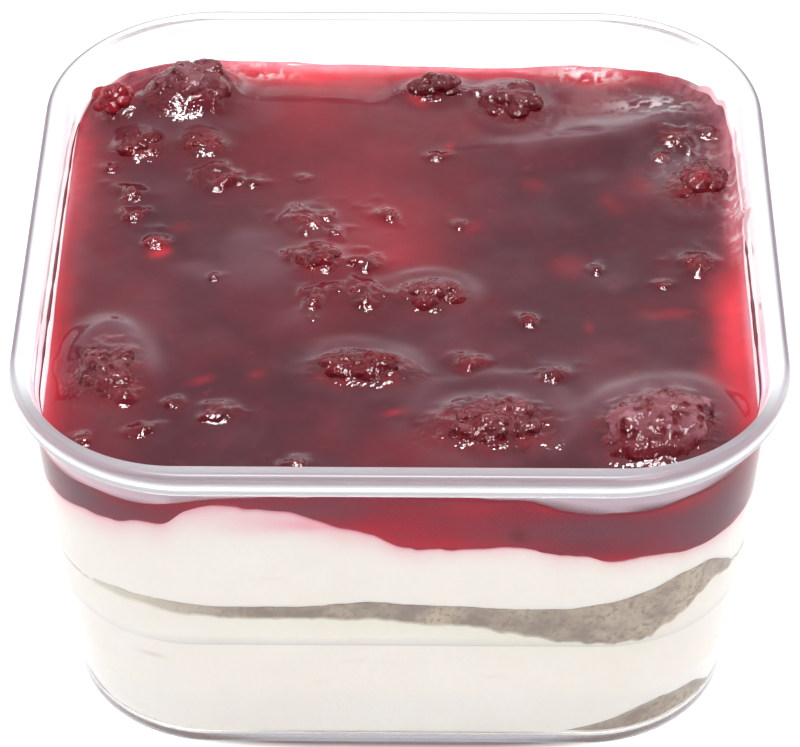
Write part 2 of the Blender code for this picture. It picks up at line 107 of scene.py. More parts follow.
JELLY_TOP = [
    (-150, 41.0), (-138, 40.8), (-130, 41.3), (-125, 41.2), (-120, 41.9), (-116, 42.4),
    (-98, 42.9), (-80, 42.8), (-71, 42.4), (-66, 40.9), (-61, 40.2), (-55, 40.7), (-50, 41.5),
    (-42, 41.9), (-30, 42.1), (0, 42.3), (30, 41.6), (45, 41.7), (70, 41.8), (90, 41.8),
    (130, 42.5), (150, 42.5), (180, 42.4),
]

# Levels away from the wall, and the jelly's half width.
CREAM_LEVEL = 35.4
JELLY_LEVEL = 42.6
JELLY_HALF = 41.4

# Swells of the jelly: (x, y, rise, spread).
JELLY_SWELLS = [
    (-28, 31, 1.5, 7.0), (-34, 31.5, 1.6, 3.6), (30, -29, 1.3, 8.5), (10.5, -29, 0.5, 9.0),
    (-34, -19, 0.5, 6.0), (-5, -2, 0.5, 7.0), (37, 15, 0.5, 5.0), (26, 26.5, 0.9, 3.2), (33, 29, 0.9, 3.2),
    (19, 25.5, 0.6, 2.8), (24, 35, -0.7, 5.0), (-14, 20, -0.3, 8.0), (16, 6, -0.3, 9.0),
]

# How suddenly the jelly's top takes up the line at the wall, and the squares along its edge.
EDGE_SHARPNESS = 5
TOP_CELLS = 280

# Berries: name, place (x, y), height of the middle, half sizes (along, across, up), turn in
# degrees, drupelets, how full of jelly the creases between the drupelets are, and how much of the
# berry lies under a pale film, which on its top and back side is partly a painted sheen.
BERRIES = [
    ("back_left", (-27.4, 33.4), 43.6, (5.8, 5.0, 4.6), 20, 16, 0.96, 0.85),
    ("corner", (-37.0, 31.4), 44.4, (2.6, 3.0, 2.6), 70, 12, 1.02, 0.35),
    ("left_of_mound", (-33.4, 23.2), 42.6, (3.1, 2.9, 2.3), 10, 14, 0.91, 0.3),
    ("right_of_mound", (-25.4, 23.6), 42.5, (2.9, 2.6, 2.2), -30, 12, 0.91, 0.3),
    ("back_wall", (4.1, 36.6), 42.3, (4.1, 2.7, 2.3), 5, 16, 0.91, 0.3),
    ("back", (13.9, 33.2), 42.3, (4.0, 4.3, 2.6), 40, 18, 0.92, 0.45),
    ("right_back", (36.9, 16.3), 42.1, (3.7, 4.6, 2.9), -25, 15, 0.92, 0.3),
    ("middle", (-10.0, 0.6), 42.4, (2.8, 3.0, 2.2), 15, 12, 0.92, 0.2),
    ("middle_right", (3.5, -6.2), 42.3, (4.5, 3.2, 2.4), 12, 16, 0.90, 0.3),
    ("middle_front", (-4.3, -19.6), 42.1, (6.2, 3.2, 2.7), -6, 24, 0.93, 0.15),
    ("left", (-34.0, -19.2), 41.6, (4.0, 6.2, 2.7), 8, 20, 0.93, 0.55),
    ("front", (10.6, -29.4), 41.6, (7.4, 4.7, 3.9), 4, 22, 0.93, 0.5),
    ("front_right", (29.6, -29.6), 41.6, (7.4, 5.8, 4.6), 28, 48, 0.96, 0.95),
]

# Points round a berry and rows of them, for the larger berries and the smaller ones.
BERRY_STEPS = (200, 110)
SMALL_BERRY_STEPS = (140, 76)

# How far the jelly's skin climbs over a berry, as a share of what stands out of the jelly, where
# that isn't the usual share.
DRAPES = {"back_left": 0.62, "front_right": 0.32, "left": 0.5, "front": 0.34, "corner": 0.28}
USUAL_DRAPE = 0.45

# How far the ridges of the most crumpled berries stand out.
RUGGED = {"back_left": 0.36, "front": 0.34, "front_right": 0.3, "middle_front": 0.28, "corner": 0.12}
USUAL_RUGGED = 0.2

# How bright the berries are that have little jelly over them.
BRIGHT = {"corner": 0.32, "right_back": 0.2, "middle": 0.12}
USUAL_BRIGHT = 0.04

# Pieces of crushed berry: place (x, y), half sizes (along, across), how far they stand out of the
# jelly and turn in degrees.
SCRAPS = [
    ((-23.2, 17.0), (2.7, 2.6), 0.9, 10), ((-33.6, 13.8), (2.2, 1.5), 0.7, -20),
    ((-33.2, 9.4), (1.8, 1.3), 0.6, 25), ((-29.9, 4.3), (1.4, 1.8), 0.7, 20),
    ((-11.8, 8.4), (2.4, 2.1), 0.9, 15), ((-2.2, 9.6), (2.0, 1.5), 0.7, -30),
    ((-8.3, 6.0), (1.3, 1.2), 0.6, 0), ((-4.2, -0.2), (2.1, 1.5), 0.8, -10),
    ((-13.9, 1.5), (1.1, 1.0), 0.5, 0), ((-10.4, -7.0), (1.7, 2.6), 0.9, -15),
    ((-4.5, -6.4), (2.0, 2.7), 0.9, 20), ((8.0, -18.4), (1.9, 1.5), 0.7, 0),
    ((17.5, -20.8), (2.1, 1.7), 0.8, 15), ((35.9, 0.6), (2.1, 2.0), 0.8, -15),
    ((-21.2, -27.4), (2.6, 1.4), 0.8, 12), ((-29.4, -29.8), (1.9, 1.1), 0.6, 15),
    ((-11.6, -36.2), (1.7, 1.1), 0.7, 5), ((34.6, 26.0), (2.6, 1.9), 0.8, -25),
    ((38.6, 27.6), (1.6, 1.2), 0.7, -20), ((4.3, 21.8), (1.2, 0.9), 0.5, 0),
    ((15.2, -10.2), (1.4, 1.2), 0.6, -30), ((-22.8, -2.2), (0.8, 0.8), 0.5, 0),
    ((-18.6, 16.4), (1.1, 0.9), 0.5, 0), ((23.6, -0.4), (1.0, 1.1), 0.5, 10),
    ((-36.5, -30.6), (1.3, 1.0), 0.6, -30), ((-26.4, -25.4), (1.3, 0.9), 0.5, 0),
    ((9.2, 35.2), (1.3, 1.1), 0.5, 0), ((-36.8, 19.0), (1.0, 0.8), 0.5, 0),
    ((31.6, -3.4), (0.9, 0.9), 0.4, 0), ((-31.6, -24.6), (1.6, 1.2), 0.8, 20),
    ((32.4, 22.0), (1.1, 0.8), 0.5, 20), ((36.0, 23.4), (0.9, 0.8), 0.5, 0),
    ((-12.6, 17.4), (0.8, 0.7), 0.4, 0), ((6.8, 8.0), (0.9, 0.9), 0.4, 0),
]

# Rings where the jelly's skin puckers round a sunk berry: middle (x, y), radii, turn, rise, width.
PUCKERS = [
    ((10.2, -28.4), (9.4, 7.6), 4, 0.42, 0.8), ((29.8, -29.2), (9.3, 7.4), 28, 0.5, 0.8),
    ((-34.0, -18.6), (4.9, 8.0), 8, 0.42, 0.7), ((-34.4, -14.8), (2.9, 3.4), 0, 0.3, 0.5),
    ((-11.2, 9.2), (3.1, 2.9), 0, 0.3, 0.5), ((3.6, -5.8), (5.4, 4.4), 12, 0.3, 0.6),
    ((-4.3, -19.4), (7.4, 4.6), -6, 0.3, 0.8), ((37.0, 16.4), (4.9, 6.2), -25, 0.4, 0.7),
    ((13.9, 33.0), (5.2, 5.4), 40, 0.35, 0.6),
]

# The fold of jelly that climbs to the back right corner: its crest, rise and width.
FOLD_CREST = [
    (13.5, 24.2), (17.8, 24.5), (22.3, 25.3), (26.7, 26.2), (30.0, 28.1), (31.3, 30.1),
    (33.9, 31.2), (37.8, 31.6), (40.9, 31.0),
]
FOLD_RISE = 0.5
FOLD_WIDTH = 2.0

# Thin lines of jelly left on the wall at the left and the right: (bearing, height), and their half
# sizes across and upwards.
LINE_LEFT = [
    (146.0, 43.4), (154.0, 44.7), (167.0, 45.1), (180.0, 45.3), (193.0, 45.4), (204.0, 45.4), (217.0, 44.6),
]
LINE_RIGHT = [
    (-38.0, 44.0), (-34.0, 44.4), (-31.0, 45.7), (-22.0, 46.1), (-13.0, 45.9), (-4.0, 45.8), (3.0, 45.2),
]
LINE_SIZE = (0.2, 0.4)

# Films of jelly smeared up the wall: (bearing, half width in degrees, rise).
WALL_FILMS = [
    (13.0, 8.0, 3.4), (27.0, 7.0, 1.6), (40.0, 9.0, 1.8), (-14.0, 8.0, 0.5), (112.0, 5.0, 0.3),
    (62.0, 5.0, 0.3), (137.0, 9.0, 0.9), (160.0, 10.0, 0.4),
]

# Where the jelly glows because it is thin or lit through the wall:
# (x, y, half width, half depth, strength).
GLOWS = [
    (40.2, -8.5, 2.9, 7.6, 0.9), (40.2, -17.5, 2.8, 6.5, 0.6), (41.4, 5.0, 1.6, 10.0, 0.4),
    (40.6, -26.0, 2.6, 5.0, 0.55), (39.0, 22.0, 2.0, 5.0, 0.12),
    (-13.6, 41.2, 13.0, 3.6, 1.0), (9.7, 41.6, 12.0, 2.4, 0.6), (25.0, 40.5, 8.0, 2.4, 0.5),
    (-41.6, 18.9, 2.4, 12.0, 0.55), (-41.6, -6.6, 2.0, 17.0, 0.55), (-41.0, -25.0, 1.8, 9.0, 0.4),
    (-37.5, 10.0, 3.0, 20.0, 0.08), (-6.0, 29.0, 22.0, 11.0, 0.10), (-13.0, 33.0, 8.0, 6.0, 0.12),
    (-2.5, 6.0, 8.5, 9.5, 0.22), (0.0, 1.0, 3.0, 3.0, 0.12), (-8.7, 0.8, 2.2, 2.2, 0.2),
    (2.4, -34.0, 9.0, 5.0, 0.1), (21.4, 1.1, 2.2, 2.0, 0.15), (29.0, 15.4, 1.5, 2.6, 0.13),
    (16.7, 16.3, 1.2, 1.8, 0.12), (31.8, -9.1, 2.0, 0.8, 0.16), (2.6, 34.7, 1.0, 1.3, 0.5),
    (5.2, 23.6, 0.7, 0.9, 0.2), (-23.7, -20.8, 1.4, 0.8, 0.2), (-29.9, 3.2, 1.1, 1.5, 0.6),
    (-16.1, -20.8, 1.1, 0.8, 0.15), (-0.5, -26.5, 1.4, 0.7, 0.3), (25.7, 13.3, 1.1, 2.0, 0.1),
    (8.3, 8.2, 1.3, 1.6, 0.12), (-27.4, 8.4, 1.7, 1.2, 0.1), (24.5, 34.5, 5.0, 4.0, 0.12),
    (22.5, -11.8, 0.8, 1.0, 0.12), (-36.0, 35.0, 2.6, 2.6, 0.25), (-10.0, -10.0, 7.0, 6.0, 0.07),
    (-33.0, -10.0, 4.0, 16.0, 0.06), (-38.0, -27.0, 3.0, 7.0, 0.12), (-12.0, 18.0, 14.0, 8.0, 0.06),
]

# Where the jelly is paler and greyer, partly a haze in it and partly a painted sheen for the
# reflection of the bright surroundings: (x, y, half width, half depth, strength).
HAZES = [
    (-16.7, 1.2, 4.4, 4.6, 0.5), (-24.5, -0.8, 3.4, 1.7, 0.5), (-18.6, 5.4, 2.6, 1.8, 0.4),
    (18.8, -18.2, 3.8, 2.0, 0.25), (25.6, -1.6, 2.4, 2.2, 0.35), (-11.8, -9.6, 2.4, 2.2, 0.4),
    (-28.0, 15.0, 3.0, 2.0, 0.2), (20.0, 25.6, 7.0, 1.0, 0.5), (30.0, 30.0, 4.5, 1.6, 0.6),
    (-30.0, -17.0, 2.0, 3.0, 0.2), (5.0, -12.0, 3.5, 3.0, 0.2), (24.0, 18.5, 2.4, 1.2, 0.25),
    (29.0, -23.5, 7.5, 3.0, 0.55), (9.0, -24.5, 6.0, 2.2, 0.3), (-33.0, -12.5, 4.0, 3.0, 0.3),
    (-30.0, 27.0, 4.0, 1.6, 0.3), (-22.0, 27.0, 3.0, 1.4, 0.25), (-40.0, 8.0, 1.6, 16.0, 0.3),
    (30.9, 34.6, 2.4, 1.0, 0.6),
]

# Where the jelly thins out to a pale rose: (x, y, half width, half depth, strength).
PALES = [
    (-13.0, 41.7, 14.0, 1.1, 0.85), (9.0, 41.7, 12.0, 0.8, 0.6), (24.0, 41.5, 7.0, 0.9, 0.4),
    (41.9, -12.0, 0.8, 12.0, 0.9), (41.6, 12.0, 1.3, 7.0, 0.6), (41.4, 26.0, 1.0, 4.0, 0.4),
    (-41.9, 14.0, 0.8, 14.0, 0.35), (-41.8, -22.0, 0.7, 8.0, 0.4), (41.8, 11.0, 0.7, 6.0, 0.5),
]

# Where white threads are painted on the jelly, painted glints of the lamps on its froth:
# (x, y, half width, half depth, strength).
FROTHS = [
    (-18.5, 40.2, 3.0, 1.3, 0.9), (23.9, 40.4, 4.0, 1.2, 0.9), (41.3, 11.0, 1.0, 6.5, 0.9),
    (32.0, 33.6, 4.5, 1.8, 0.55), (37.0, 20.0, 4.0, 6.0, 0.2),
]

# Where the jelly's top is crumpled by froth, and where it is lumpy and wet from it:
# (x, y, half width, half depth, strength).
GLINTS = [(-18.5, 40.0, 2.6, 1.4, 1.0), (23.9, 40.0, 3.6, 1.4, 1.0), (41.0, 11.0, 1.4, 7.0, 1.0)]
WET_SPOTS = [
    (-18.5, 40.6, 2.6, 1.6, 1.0), (23.9, 40.6, 3.6, 1.6, 1.0), (41.3, 11.0, 1.4, 7.0, 0.8),
    (30.9, 34.6, 2.4, 0.9, 0.7),
]

# Patches of the jelly against the front wall: (x, height, half width, half height, glow, haze
# with painted sheen).
SIDE_PATCHES = [
    (-2.0, 37.6, 8.0, 2.2, 0.2, 0.0), (8.0, 41.4, 5.0, 1.1, 0.16, 0.0), (17.0, 41.6, 3.0, 0.9, 0.2, 0.0),
    (32.0, 41.0, 4.5, 1.0, 0.3, 0.0), (-22.0, 41.9, 8.0, 0.8, 0.12, 0.0), (5.0, 35.8, 9.0, 0.8, 0.2, 0.0),
    (24.0, 33.4, 5.0, 0.7, 0.2, 0.0), (-31.0, 35.6, 5.0, 0.6, 0.15, 0.0),
    (-37.0, 39.0, 7.0, 5.0, 0.0, 0.7), (37.0, 37.0, 6.0, 5.0, 0.0, 0.6), (22.0, 38.0, 8.0, 2.4, 0.0, 0.45),
    (-13.0, 40.7, 6.0, 0.9, 0.0, 0.35), (13.7, 37.2, 1.2, 1.2, 0.0, 0.3),
]

# A scrap of berry against the front wall: (x, height, half width, half height).
SUNK_SCRAP = (13.7, 37.2, 1.1, 1.1)

# Painted shade for small slits and hollows in the cream against the front wall, as darker
# patches of its colour: (x, height, half length, half height, strength).
SLITS = [
    (-29.0, 15.2, 1.6, 0.22, 0.45), (11.6, 12.6, 1.1, 0.22, 0.35), (-14.6, 29.8, 1.6, 0.3, 0.14),
    (-9.8, 11.2, 0.3, 0.12, 0.35), (-6.0, 11.5, 0.3, 0.1, 0.25), (-7.2, 9.8, 0.3, 0.14, 0.2),
    (19.6, 13.0, 0.22, 0.5, 0.25), (-20.6, 9.2, 0.4, 0.12, 0.2), (-4.0, 15.2, 3.4, 0.1, 0.16),
    (4.4, 15.4, 3.0, 0.1, 0.14),
]

# Brightness of the surroundings behind the cup and before it, as (height of a direction,
# brightness) steps.
BEHIND = [(0.0, 0.95), (0.3, 0.75), (0.68, 0.5), (0.87, 0.6), (1.0, 0.7)]
BEFORE = [(0.0, 0.3), (0.3, 0.14), (0.68, 0.14), (0.87, 0.4), (1.0, 0.7)]

# Lamps that face the cup: name, bearing from the front to the right and elevation in degrees,
# distance, width and height in metres, power in watts, and whether only reflections show it.
LAMPS = [
    ("overhead", 4, 68, 1.2, (0.17, 0.17), 3.8, False),
    ("overhead_left", -42, 58, 1.2, (0.11, 0.11), 1.8, False),
    ("overhead_right", 46, 62, 1.2, (0.11, 0.11), 1.8, False),
    ("sparkle", -8, 60, 1.3, (0.6, 0.18), 28.0, True),
    ("sparkle_high", 20, 78, 1.3, (0.5, 0.16), 20.0, True),
]

BLACK = (0.0, 0.0, 0.0)
WHITE = (1.0, 1.0, 1.0)

# The camera: its place and what it looks at in millimetres, and its turn in degrees.
CAMERA_PLACE = (4.3, -333.57, 313.22)
CAMERA_AIM = (-0.28, 0.0, 25.48)
CAMERA_ROLL = -0.225
CAMERA_LENS = 159.27
CAMERA_SENSOR = 36.0


def square_round(half, radius, steps):
    """Rounded square, anticlockwise from the right side: sides are straight runs at the half width,
    corners are quarter circles of the radius about (half - radius, half - radius)."""
    sides, arcs = steps
    along = np.concatenate([np.linspace(-1, 1, sides, endpoint=False), np.ones(arcs)])
    turn = np.concatenate([np.zeros(sides), np.linspace(0, math.pi / 2, arcs, endpoint=False)])
    on_arc = np.tile(np.arange(sides + arcs) >= sides, 4)
    along, turn = np.tile(along, 4), np.tile(turn, 4)
    quarter = np.repeat(np.arange(4), sides + arcs)
    straight = half - radius
    x = np.where(on_arc, straight + radius * np.cos(turn), half)
    y = np.where(on_arc, straight + radius * np.sin(turn), straight * along)
    cos, sin = np.array([1, 0, -1, 0])[quarter], np.array([0, 1, 0, -1])[quarter]
    return cos * x - sin * y, sin * x + cos * y


def square_gauge(x, y, half, radius):
    """How far out a point lies, 1 on the rounded square: the largest coordinate over the half width
    beside a side, and the root of the corner circle's equation, scaled with the square, elsewhere."""
    a, b = np.abs(x), np.abs(y)
    by_side = np.maximum(a, b) / half
    straight = half - radius
    spread = 2 * straight**2 - radius**2
    inside = np.maximum(0.0, (straight * (a + b)) ** 2 - spread * (a * a + b * b))
    by_corner = (straight * (a + b) - np.sqrt(inside)) / spread
    return np.where(np.minimum(a, b) > straight * by_side, by_corner, by_side)


def bearing(x, y):
    """Bearing from the cup's axis in degrees, 0 along +X and -90 at the front."""
    return np.degrees(np.arctan2(y, x))


def round_the_wall(stations, where):
    """Smooth closed line through (bearing, height) stations: cubic pieces whose slopes are the
    harmonic means of the neighbouring rises, and nought at a peak or a dip."""
    knots = np.array(sorted(stations), float)
    knots = np.vstack([knots[-2:] - [360, 0], knots, knots[:2] + [360, 0]])
    angle, height = knots[:, 0], knots[:, 1]
    rise = np.diff(height) / np.diff(angle)
    slope = np.zeros(len(angle))
    before, after = rise[:-1], rise[1:]
    same = before * after > 0
    slope[1:-1][same] = 2 * before[same] * after[same] / (before + after)[same]
    left = np.clip(np.searchsorted(angle, where, side="right") - 1, 0, len(angle) - 2)
    span = angle[left + 1] - angle[left]
    share = (where - angle[left]) / span
    return (
        height[left] * (1 + 2 * share) * (1 - share) ** 2
        + slope[left] * span * share * (1 - share) ** 2
        + height[left + 1] * share**2 * (3 - 2 * share)
        + slope[left + 1] * span * share**2 * (share - 1)
    )


def inner_half(height):
    """Half width of the cup's inner wall at a height."""
    levels, halves = zip(*INNER_WALL)
    return np.interp(height, levels, halves)


def inner_corner(half):
    """Corner radius of the inner wall, tighter where the wall turns in to the floor."""
    return INNER_CORNER + np.minimum(0.0, half - FOOT_TURN[1])


def smooth_step(value, low, high):
    """0 below low, 1 above high, and a cubic ease between."""
    share = np.clip((value - low) / (high - low), 0.0, 1.0)
    return share * share * (3 - 2 * share)


def lattice_noise(x, y, z, cell, seed):
    """Smooth noise from -1 to 1: random values on a cubic lattice of the cell size, blended by an
    eased weight along each axis."""
    table = np.random.default_rng(SEED + seed).permutation(256)
    value = np.random.default_rng(SEED + seed + 1).uniform(-1, 1, 256)
    x, y, z = np.broadcast_arrays(x, y, z)
    place = [axis / cell for axis in (x, y, z)]
    corner = [np.floor(axis).astype(int) for axis in place]
    ease = [(p - c) ** 2 * (3 - 2 * (p - c)) for p, c in zip(place, corner)]
    total = np.zeros(x.shape)
    for dx in (0, 1):
        for dy in (0, 1):
            for dz in (0, 1):
                index = table[(corner[0] + dx) & 255]
                index = table[(index + corner[1] + dy) & 255]
                index = table[(index + corner[2] + dz) & 255]
                weight = (ease[0] if dx else 1 - ease[0]) * (ease[1] if dy else 1 - ease[1])
                total += value[index] * weight * (ease[2] if dz else 1 - ease[2])
    return total


def layered_noise(x, y, z, cell, layers, seed):
    """Sum of noises, each with half the last one's cell and half its height."""
    total = 0.0
    for layer in range(layers):
        total = total + lattice_noise(x, y, z, cell / 2**layer, seed + 7 * layer) / 2**layer
    return total


def crumple(x, y, z, cell, seed):
    """Sharp wandering ridges from -1 to 1: one less twice the size of a smooth noise, with a second
    noise of half the cell laid over it."""
    coarse = 1 - 3.2 * np.abs(lattice_noise(x, y, z, cell, seed))
    fine = 1 - 3.2 * np.abs(lattice_noise(x, y, z, cell / 2, seed + 3))
    return 0.65 * coarse + 0.35 * fine


def hump(value, width, power=2):
    """1 where a value is nought, falling off to both sides as a bell curve of a width. A higher power
    flattens the top and steepens the flanks."""
    return np.exp(-(np.abs(value / width) ** power))


def bell(x, y, spot):
    """1 at the middle of an elliptical spot and falling off as a bell curve with its half sizes."""
    return np.exp(-(((x - spot[0]) / spot[2]) ** 2 + ((y - spot[1]) / spot[3]) ** 2))


def bells(x, y, spots):
    """Sum of the bells of a table of spots, each times its strength."""
    return sum(spot[4] * bell(x, y, spot) for spot in spots)


def ellipse_gauge(x, y, middle, half, degrees):
    """How far out a point lies, 1 on the ellipse about a middle whose axes are turned by an angle:
    the root of the squared shares of its half sizes along and across."""
    cos, sin = math.cos(math.radians(degrees)), math.sin(math.radians(degrees))
    along = (x - middle[0]) * cos + (y - middle[1]) * sin
    across = (y - middle[1]) * cos - (x - middle[0]) * sin
    return np.hypot(along / half[0], across / half[1])


def write_mesh(name, points, faces, marks=None):
    """Object at the origin from points in millimetres and faces given as arrays of equal length."""
    mesh = bpy.data.meshes.new(name)
    mesh.vertices.add(len(points))
    mesh.vertices.foreach_set("co", (np.asarray(points, float) * MM).ravel())
    corners = np.concatenate([block.ravel() for block in faces])
    sizes = np.concatenate([np.full(len(block), block.shape[1]) for block in faces])
    mesh.loops.add(len(corners))
    mesh.loops.foreach_set("vertex_index", corners.astype(np.int32))
    mesh.polygons.add(len(sizes))
    starts = np.concatenate([[0], np.cumsum(sizes)[:-1]])
    mesh.polygons.foreach_set("loop_start", starts.astype(np.int32))
    mesh.update(calc_edges=True)
    mesh.validate()
    mesh.shade_smooth()
    for mark, values in (marks or {}).items():
        layer = mesh.attributes.new(mark, "FLOAT", "POINT")
        layer.data.foreach_set("value", np.asarray(values, np.float32).ravel())
    made = bpy.data.objects.new(name, mesh)
    bpy.context.scene.collection.objects.link(made)
    return made


def finish_piece(piece, material, slot, *nodes):
    """Gives a piece its material, lets it ride on the cup's body and hides the imported parts it replaces.
    """
    piece.data.materials.append(material)
    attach(piece, "root")
    if nodes:
        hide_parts(*nodes)
    return piece


def strip_faces(rows, around, first=0):
    """Four-sided faces of a grid that closes on itself round each row."""
    low = np.arange(rows - 1)[:, None] * around + np.arange(around)[None, :] + first
    following = np.arange(rows - 1)[:, None] * around + (np.arange(around)[None, :] + 1) % around
    following = following + first
    return np.stack([low, following, following + around, low + around], axis=-1).reshape(-1, 4)


def ring_solid(name, rings, marks=None):
    """Closed solid through rings (rows, around, 3), running from the bottom's middle up the outside
    to the top's middle, and closed at each end by a fan."""
    rings = np.asarray(rings)
    rows, around = rings.shape[:2]
    ends = np.array([rings[0].mean(axis=0), rings[-1].mean(axis=0)])
    points = np.vstack([rings.reshape(-1, 3), ends])
    index = np.arange(around)
    following = (index + 1) % around
    bottom = np.stack([following, index, np.full(around, rows * around)], axis=-1)
    last = (rows - 1) * around
    top = np.stack([index + last, following + last, np.full(around, rows * around + 1)], axis=-1)
    if marks:
        marks = {
            key: np.concatenate([v.ravel(), [v[0].mean(), v[-1].mean()]]) for key, v in marks.items()
        }
    return write_mesh(name, points, [strip_faces(rows, around), bottom, top], marks)


def lattice_position(height, reach, steps=LAYER_STEPS):
    """A ring of the inner wall at a height for each point, pushed out by a reach."""
    half = inner_half(height) + reach
    return square_round(half, inner_corner(half), steps)


def rounded_section(corners):
    """Section line through corners, each replaced by a circular arc of its radius."""
    line = [np.array(corners[0][:2])]
    for before, here, after in zip(corners, corners[1:], corners[2:]):
        spot = np.array(here[:2])
        back, ahead = np.array(before[:2]) - spot, np.array(after[:2]) - spot
        reach_back, reach_ahead = np.linalg.norm(back), np.linalg.norm(ahead)
        back, ahead = back / reach_back, ahead / reach_ahead
        half_angle = math.acos(max(-1.0, min(1.0, float(back @ ahead)))) / 2
        length = min(here[2] / math.tan(half_angle), reach_back * 0.48, reach_ahead * 0.48)
        radius = length * math.tan(half_angle)
        centre = spot + (back + ahead) / np.linalg.norm(back + ahead) * radius / math.sin(half_angle)
        start, end = spot + back * length - centre, spot + ahead * length - centre
        sweep = math.pi - 2 * half_angle
        steps = max(2, int(math.degrees(sweep) / 14) + 1)
        for step in range(steps + 1):
            share = step / steps
            weight_a = math.sin((1 - share) * sweep) / math.sin(sweep)
            weight_b = math.sin(share * sweep) / math.sin(sweep)
            line.append(centre + start * weight_a + end * weight_b)
    line.append(np.array(corners[-1][:2]))
    return np.array(line)


def refined(line, longest, longest_in_rim):
    """Section line with its runs cut into equal steps no longer than a length, finer in the rim."""
    pieces = []
    for start, end in zip(line, line[1:]):
        limit = longest_in_rim if min(start[1], end[1]) > 42.0 else longest
        steps = max(1, math.ceil(np.linalg.norm(end - start) / limit))
        pieces.append(start + (end - start) * np.arange(steps)[:, None] / steps)
    return np.vstack(pieces + [line[-1:]])


def cup_shell():
    """The clear cup: its section carried round the rounded square, tighter at the foot's corners
    and wider at the rim's."""
    line = refined(rounded_section(CUP_SECTION), 1.3, 0.4)
    top = int(np.argmax(line[:, 1]))
    half = line[:, 0]
    outside = np.arange(len(line)) <= top
    outer = WALL_CORNER + np.minimum(0.0, half - FOOT_TURN[0])
    outer = outer + RIM_CORNER_GROWTH * np.maximum(0, half - RIM_TURN[0])
    inner = inner_corner(half) + RIM_CORNER_GROWTH * 0.5 * np.maximum(0, half - RIM_TURN[1])
    level = line[:, 1]
    blend = np.where(outside, 1.0, smooth_step(level, 47.0, 49.0))
    radius = outer * blend + inner * (1 - blend)
    x, y = square_round(half[:, None], radius[:, None], CUP_STEPS)
    rings = np.stack([x, y, np.broadcast_to(level[:, None], x.shape)], axis=-1)
    # Painted light and shade on the plastic: the rim greyer in front, a painted white highlight on its
    # bead, a painted pinkish grey band for the jelly seen through it, a painted dark outline along its
    # outer edge at the sides and back, a painted bluish shade on it at the sides, a painted bluish dark
    # line along the step, and painted light on the inner wall above the jelly at the front and the sides.
    front = smooth_step(-y, 22, 36)
    bead = hump(level - 47.2, 0.45) * (half > 44.8)
    bead = np.maximum(bead, 0.22 * (half > 44.05) * (level < 46.8) * (level > RIM_FOOT))
    band = hump(level - 48.2, 0.5) * (half > 44.6)
    edge = smooth_step(half, 43.85, 44.5) * outside * (level > 47.3)
    shade = (smooth_step(half, 43.0, 44.4) * (level > 48.4))[:, None] * smooth_step(np.abs(x), 28, 42)
    above = level[:, None] - round_the_wall(JELLY_TOP, bearing(x, y))
    inside, near = ~outside[:, None], smooth_step(-y, 8, 24)
    frost = smooth_step(above, 0.0, 0.5) * (smooth_step(np.abs(x), 35, 40) * inside) * (1 - near)
    veil = 0.22 * smooth_step(-x, 28, 37) * smooth_step(-y, 8, 20) * inside
    veil = veil * smooth_step(level, 34, 37)[:, None]
    step = hump(level - STEP_HEIGHT - 0.1, 0.2) * outside
    marks = {
        "front": np.broadcast_to(front, x.shape), "bead": bead[:, None] * front,
        "band": band[:, None] * front, "outline": edge[:, None] * (1 - front),
        "shade": shade * (1 - front), "fog": smooth_step(above, 0.4, 1.0) * inside * near,
        "step": step[:, None] + 0.0 * x, "frost": np.maximum(frost, veil),
    }
    made = ring_solid("clear_cup", rings, marks)
    around = x.shape[1]
    of_rim = (half[:-1] > 43.05) & (level[:-1] > RIM_FOOT) & (level[1:] > RIM_FOOT)
    slots = np.concatenate([np.repeat(of_rim.astype(np.int32), around), np.zeros(2 * around, np.int32)])
    made.data.polygons.foreach_set("material_index", slots)
    return made


def side_rows(bottom, top, count):
    """Heights of rows between two lines round the wall."""
    return bottom[None, :] + (top - bottom)[None, :] * np.linspace(0, 1, count)[:, None]


def layer_solid(name, bottom, top, rows, reach, marks=None, inset=None, relief=None, foot=0):
    """A filling between two lines round the wall: its side follows the inner wall, and its faces run
    flat from each line towards the middle. It reaches into the wall, less an inset, and with a foot
    it also fills the rounded foot. marks and relief are functions of the side's (x, y, height, share
    up) arrays."""
    heights = side_rows(bottom, top, rows)
    margin = reach - (0.0 if inset is None else inset)
    margin = margin + 0.8 * foot * (1 - smooth_step(heights, FLOOR, FLOOR + 1.8))
    x, y = lattice_position(heights, margin)
    share = np.broadcast_to(np.linspace(0, 1, rows)[:, None], x.shape)
    if relief is not None:
        shrink = 1 - relief(x, y, heights, share) / 40.0
        x, y = x * shrink, y * shrink
    side = np.stack([x, y, heights], axis=-1)
    values = {key: rule(x, y, heights, share) for key, rule in (marks or {}).items()}
    shares = np.array([0.35, 0.7, 0.93])[:, None, None]
    flat = np.array([1.0, 1.0, 0.0])

    def face(ring, level):
        inner = ring[None] * (shares * flat + (1 - flat))
        drop = (level - ring[None, :, 2]) * (1 - shares[..., 0] ** 4)
        inner[..., 2] += drop
        return inner

    lower = face(side[0], float(bottom.mean()))
    upper = face(side[-1], float(top.mean()))[::-1]
    rings = np.concatenate([lower, side, upper])
    full = {
        key: np.concatenate([np.repeat(v[:1], 3, 0), v, np.repeat(v[-1:], 3, 0)])
        for key, v in values.items()
    }
    return ring_solid(name, rings, full)


def wall_bearings():
    """Bearings of the points round the fillings' outlines."""
    return bearing(*square_round(40.0, INNER_CORNER, LAYER_STEPS))


def ragged(where, size, cell, seed):
    """Unevenness of a layer's line at the wall, as noise along the bearing."""
    return size * layered_noise(where / cell, 0.0 * where, 0.0 * where, 1.0, 3, seed)


